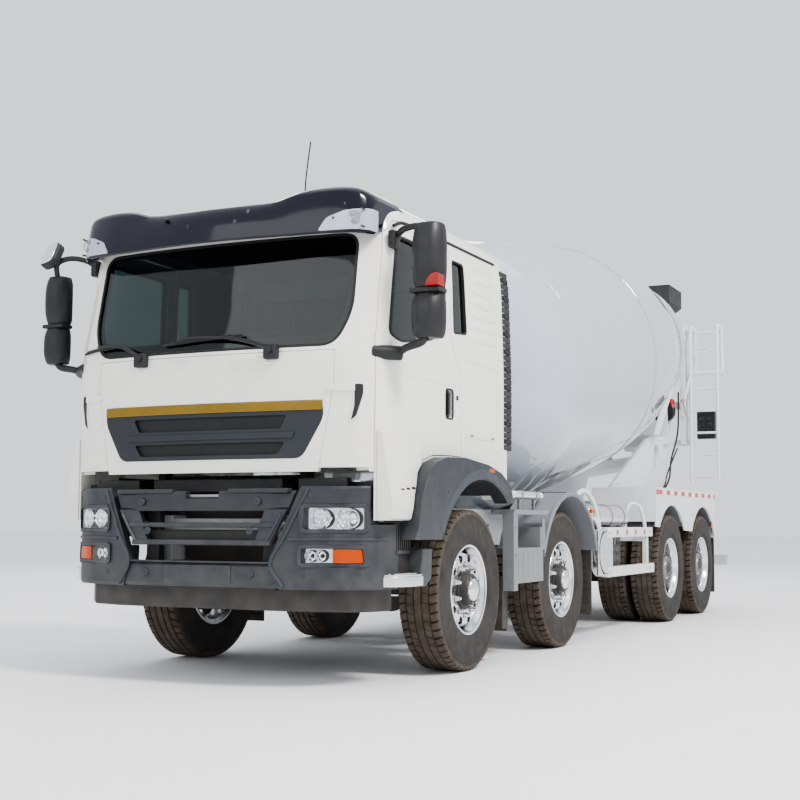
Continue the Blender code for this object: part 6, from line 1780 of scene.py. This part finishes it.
def rear_feeds():
    """Hopper, funnel, chutes, subframe, and the frame with its tail lamps."""
    hopper = Shape()
    hopper.node("feed_hopper", "hopper", 0.010, 3)
    half, near, rear, top = 0.497, 7.845, 8.452, 3.966
    rim = [(-half, near, top), (half, near, top), (half, rear, top), (-half, rear, top)]
    for index in range(4):
        hopper.rod(rim[index], rim[(index + 1) % 4], 0.0065, "hopper", 10)
    hopper.rod((-0.45, 7.835, 3.74), (0.45, 7.835, 3.74), 0.018, "white", 12)
    hopper.finish("hopper_skin", "root", "black_steel", ("feed_hopper",), 34)
    funnel = Shape()
    funnel.node("discharge_funnel", "white", 0.006, 2)
    funnel.finish("funnel_skin", "root", "white_paint", ("discharge_funnel",), 34)
    for name, body, bevel in (("chute_post", "chute_post", 0.006), ("chute", "chute", 0.004),
                              ("chute_extension", "chute_extension", 0.004)):
        shape = Shape()
        shape.node(name, "white", bevel, 2)
        shape.finish(f"{name}_skin", body, "white_paint", (name,), 34)
    frame = Shape()
    frame.node("drum_subframe", "frame", 0.005, 2)
    frame.finish("subframe_skin", "root", "white_paint", ("drum_subframe",), 34)
    rails = Shape()
    rails.node("chassis_frame", "frame", 0.005, 2)
    for side in (1, -1):
        low, high = span(side, 0.72, 1.02)
        rails.box((low, 7.805, 0.505), (high, 7.812, 0.595), "white", 0.002)
        for index, glow in enumerate(("red_lens", "amber", "red_lens")):
            x = 0.735 + index * 0.095
            low, high = span(side, x, x + 0.085)
            rails.box((low, 7.811, 0.512), (high, 7.826, 0.588), glow, 0.006, 2)
        low, high = span(side, 1.06, 1.18)
        rails.box((low, 7.8105, 0.52), (high, 7.8125, 0.58), "tape", 0.0005, 1)
        for y in [-0.9 + step * 0.42 for step in range(21)]:
            for z in (0.80, 0.96):
                rails.rod((side * 0.428, y, z), (side * 0.438, y, z), 0.012, "steel", 6)
    rails.box((-0.24, 7.8105, 0.505), (0.24, 7.8165, 0.595), "plate", 0.002)
    rails.finish("frame_skin", "root", "white_paint", ("chassis_frame",), 34)


pedestal()
ladder()
rear_feeds()


# ------------------------------------------------------------------ cab interior

def cushion(low, high, crown, pull=0.012):
    """A crowned closed pad: the middle swells, the edges pull in and two sewn channels run across it."""
    bm = bmesh.new()
    steps = 14
    half = [(high[axis] - low[axis]) / 2 for axis in range(3)]
    mid = [(high[axis] + low[axis]) / 2 for axis in range(3)]
    bmesh.ops.create_cube(bm, size=2.0)
    bmesh.ops.subdivide_edges(bm, edges=bm.edges, cuts=steps, use_grid_fill=True)
    for vertex in bm.verts:
        u, v, w = vertex.co
        edge = max(abs(u), abs(v))
        swell = (1 - u ** 4) * (1 - v ** 4)
        channel = sum(bell((v - at) / 0.045) for at in (-0.36, 0.36)) if abs(u) < 0.97 else 0.0
        side = 1 - pull / max(half[0], 0.05) * (1 - w * w) * (1 - (1 - edge) ** 2) * 0.6
        x = mid[0] + u * half[0] * side * (1 - 0.05 * v ** 6)
        y = mid[1] + v * half[1] * side * (1 - 0.05 * u ** 6)
        z = mid[2] + w * half[2] * (1 - 0.28 * (1 - swell) ** 2)
        if w > 0:
            z += crown * swell * w - 0.008 * channel * w
        vertex.co = Vector((x, y, z))
    for _ in range(2):
        bmesh.ops.smooth_vert(bm, verts=bm.verts, factor=0.5, use_axis_x=True, use_axis_y=True,
                              use_axis_z=True)
    bmesh.ops.recalc_face_normals(bm, faces=bm.faces)
    return bm


def bell(value):
    """A bell curve that is one at its middle."""
    return exp(-value * value)


def piping(shape, low, high):
    """A sewn cord round the upper edge of a pad."""
    corners = rounded([(low[0] + 0.012, low[1] + 0.012), (high[0] - 0.012, low[1] + 0.012),
                       (high[0] - 0.012, high[1] - 0.012), (low[0] + 0.012, high[1] - 0.012)], 0.03, 4)
    z = high[2] - 0.022
    path = [(x, y, z) for x, y in corners] + [(corners[0][0], corners[0][1], z)]
    shape.tube(path, 0.0035, "seat_side", 6, straight=True)


def seats():
    """Two seats: base with bellows, cushion, back and head rest."""
    floor = 1.3603
    for name, side in (("driver_seat", 1), ("passenger_seat", -1)):
        base = Shape(side)
        base.box((0.37, -0.29, floor), (0.73, 0.09, floor + 0.09), "black", 0.012, 3)
        bm = bmesh.new()
        levels = 14
        rings = []
        for level in range(levels):
            z = floor + 0.09 + 0.19 * level / (levels - 1)
            swell = 0.012 if level % 2 else 0.0
            outline = rounded([(0.40 - swell, -0.25 - swell), (0.70 + swell, -0.25 - swell),
                               (0.70 + swell, 0.05 + swell), (0.40 - swell, 0.05 + swell)], 0.04, 3)
            rings.append([bm.verts.new((x, y, z)) for x, y in outline])
        loft(bm, rings)
        base.take(bm, "rubber")
        base.box((0.735, -0.35, floor + 0.26), (0.775, 0.02, floor + 0.33), "black", 0.010, 3)
        base.rod((0.755, -0.30, floor + 0.30), (0.80, -0.30, floor + 0.30), 0.018, "black", 16, 0.004)
        base.finish(f"{name}_base", "cab", "seat_fabric", (name,), 36)
        pads = (("cushion", (0.305, -0.42, floor + 0.285), (0.795, 0.13, floor + 0.425), 0.022, None),
                ("back", (0.315, -0.33, -0.065), (0.785, 0.33, 0.065), 0.020, (0.205, floor + 0.715)),
                ("head", (0.425, -0.115, -0.05), (0.675, 0.115, 0.05), 0.015, (0.295, floor + 1.145)))
        for part, low, high, crown, stand in pads:
            pad = Shape(side)
            if stand is None:
                pad.take(cushion(low, high, crown), "fabric")
                piping(pad, low, high)
            else:
                lean = radians(101 if part == "back" else 98)
                turn = Matrix.Translation((0, stand[0], stand[1])) @ Matrix.Rotation(lean, 4, "X")
                form = cushion(low, high, crown)
                for vertex in form.verts:
                    vertex.co = turn @ vertex.co
                pad.take(form, "fabric")
            made = pad.finish(f"{name}_{part}", "cab", "seat_fabric", (), 50)


def dash():
    """Dashboard with vents, screens and steering wheel, and the cab's lining."""
    shape = Shape()
    knots = ((-1.325, 1.63), (-1.00, 1.625), (-0.975, 1.72), (-0.915, 1.88), (-0.905, 1.955),
             (-0.94, 1.995), (-1.05, 2.012), (-1.20, 2.002), (-1.325, 1.990))
    outline = smooth_path([(y, z, 0) for y, z in knots], 4, True)
    body = carve(plate([(p[0], p[1]) for p in outline], 0, -1.06, 1.06), [cab_form(1.2, 0.07)], "INTERSECT")
    shape.mesh_of(body, "trim", 0.008, 2)
    shape.box((0.30, -0.985, 1.93), (0.80, -0.925, 2.035), "trim", 0.022, 3)
    shape.box((0.34, -0.923, 1.945), (0.76, -0.918, 2.015), "gloss_black", 0.004)
    shape.box((-0.20, -0.925, 1.80), (0.16, -0.895, 1.95), "gloss_black", 0.008)
    for x in (-0.90, -0.55, 0.20, 0.88):
        shape.box((x - 0.05, -0.93, 1.86), (x + 0.05, -0.898, 1.93), "black", 0.006)
        for row in range(4):
            z = 1.868 + row * 0.016
            shape.box((x - 0.042, -0.902, z), (x + 0.042, -0.893, z + 0.006), "trim", 0.001)
    tilt = Matrix.Translation((0.55, -0.76, 2.02)) @ Matrix.Rotation(radians(-50), 4, "X")
    rim = [tilt @ Vector((0.205 * cos(radians(a)), 0.205 * sin(radians(a)), 0)) for a in range(0, 361, 9)]
    shape.tube([tuple(point) for point in rim], 0.0145, "black", 12, straight=True)
    for angle in (0, 180, 270):
        tip = tilt @ Vector((0.20 * cos(radians(angle)), 0.20 * sin(radians(angle)), 0.0))
        root = tilt @ Vector((0.03 * cos(radians(angle)), 0.03 * sin(radians(angle)), -0.012))
        shape.tube([tuple(root), tuple(tip)], 0.013, "black", 10, straight=True)
    hub = tilt @ Vector((0, 0, -0.03))
    top = tilt @ Vector((0, 0, 0.012))
    shape.rod(tuple(hub), tuple(top), 0.062, "black", 32, 0.012)
    shape.rod((0.55, -1.02, 1.80), tuple(hub), 0.030, "black", 20)
    shape.finish("dash_skin", "cab", "dark_plastic", ("dashboard",), 34)
    lining = Shape()
    lining.rod((0.0, -1.16, 2.50), (0.0, -1.12, 2.62), 0.010, "black", 10)
    lining.box((-1.00, 0.655, 1.40), (1.00, 0.665, 2.72), "trim", 0.004)
    lining.box((-0.95, 0.30, 1.37), (0.95, 0.65, 1.72), "trim", 0.04, 3)
    lining.box((-0.98, -0.85, 2.86), (0.98, 0.62, 2.885), "trim", 0.01)
    for side in (1, -1):
        low, high = span(side, 0.12, 0.92)
        lining.box((low, -1.20, 2.705), (high, -1.175, 2.79), "seat_side", 0.010, 3)
    lining.finish("cab_lining", "cab", "dark_plastic", (), 36)


seats()
dash()


# ------------------------------------------------------------------ CAD nodes that stay as they are

CAST = ("axle_1", "axle_2", "axle_3", "axle_4", "engine", "propshaft", "knuckle_1_left",
        "knuckle_1_right", "knuckle_2_left", "knuckle_2_right", "roller_left", "roller_right")
for name, node in NODES.items():
    if not node.hide_render:
        for place in node.material_slots:
            place.material = M["cast" if name in CAST else "white"]


# ------------------------------------------------------------------ floor, light and camera

def area_light(name, place, aim, size, power, colour=(1.0, 1.0, 1.0)):
    lamp = bpy.data.lights.new(name, "AREA")
    lamp.shape = "RECTANGLE"
    lamp.size, lamp.size_y = size
    lamp.energy = power
    lamp.color = colour
    made = bpy.data.objects.new(name, lamp)
    made.location = place
    made.rotation_euler = (Vector(aim) - Vector(place)).to_track_quat("-Z", "Y").to_euler()
    bpy.context.scene.collection.objects.link(made)


def stage():
    """Pale floor, even sky and four soft lamps."""
    bm = bmesh.new()
    bmesh.ops.create_grid(bm, x_segments=1, y_segments=1, size=90.0)
    mesh = bpy.data.meshes.new("floor")
    bm.to_mesh(mesh)
    bm.free()
    floor = bpy.data.objects.new("floor", mesh)
    floor.location.z = -0.002
    mesh.materials.append(finish("floor_pale", (0.93, 0.93, 0.93), 0.85, tint=0.01, tint_scale=0.4))
    bpy.context.scene.collection.objects.link(floor)
    world = bpy.data.worlds.new("studio")
    world.use_nodes = True
    sky = world.node_tree.nodes["Background"]
    sky.inputs["Color"].default_value = (0.93, 0.96, 1.0, 1.0)
    sky.inputs["Strength"].default_value = 1.0
    bpy.context.scene.world = world
    bpy.context.scene.view_settings.look = "AgX - Medium High Contrast"
    area_light("key", (11.0, -7.0, 13.0), (0, 0, 1.5), (3.2, 3.2), 2300.0, (1.0, 0.98, 0.95))
    area_light("front", (-2.0, -16.0, 7.0), (0, -3, 1.6), (10.0, 5.0), 260.0)
    area_light("top", (0.0, 0.0, 14.0), (0, 0, 0), (10.0, 16.0), 350.0)
    area_light("rear", (-9.0, 12.0, 9.0), (0, 2, 1.5), (8.0, 6.0), 350.0)


def camera():
    """The camera that was recovered from the photograph."""
    lens = bpy.data.cameras.new("camera")
    lens.sensor_width = 36.0
    lens.lens = 58.1
    lens.shift_x = -0.034
    lens.shift_y = 0.023
    lens.clip_end = 300.0
    made = bpy.data.objects.new("camera", lens)
    made.location = (4.569, -11.451, 0.974)
    made.rotation_euler = (radians(94.65), radians(-0.2), radians(25.13))
    bpy.context.scene.collection.objects.link(made)
    bpy.context.scene.camera = made


stage()
camera()
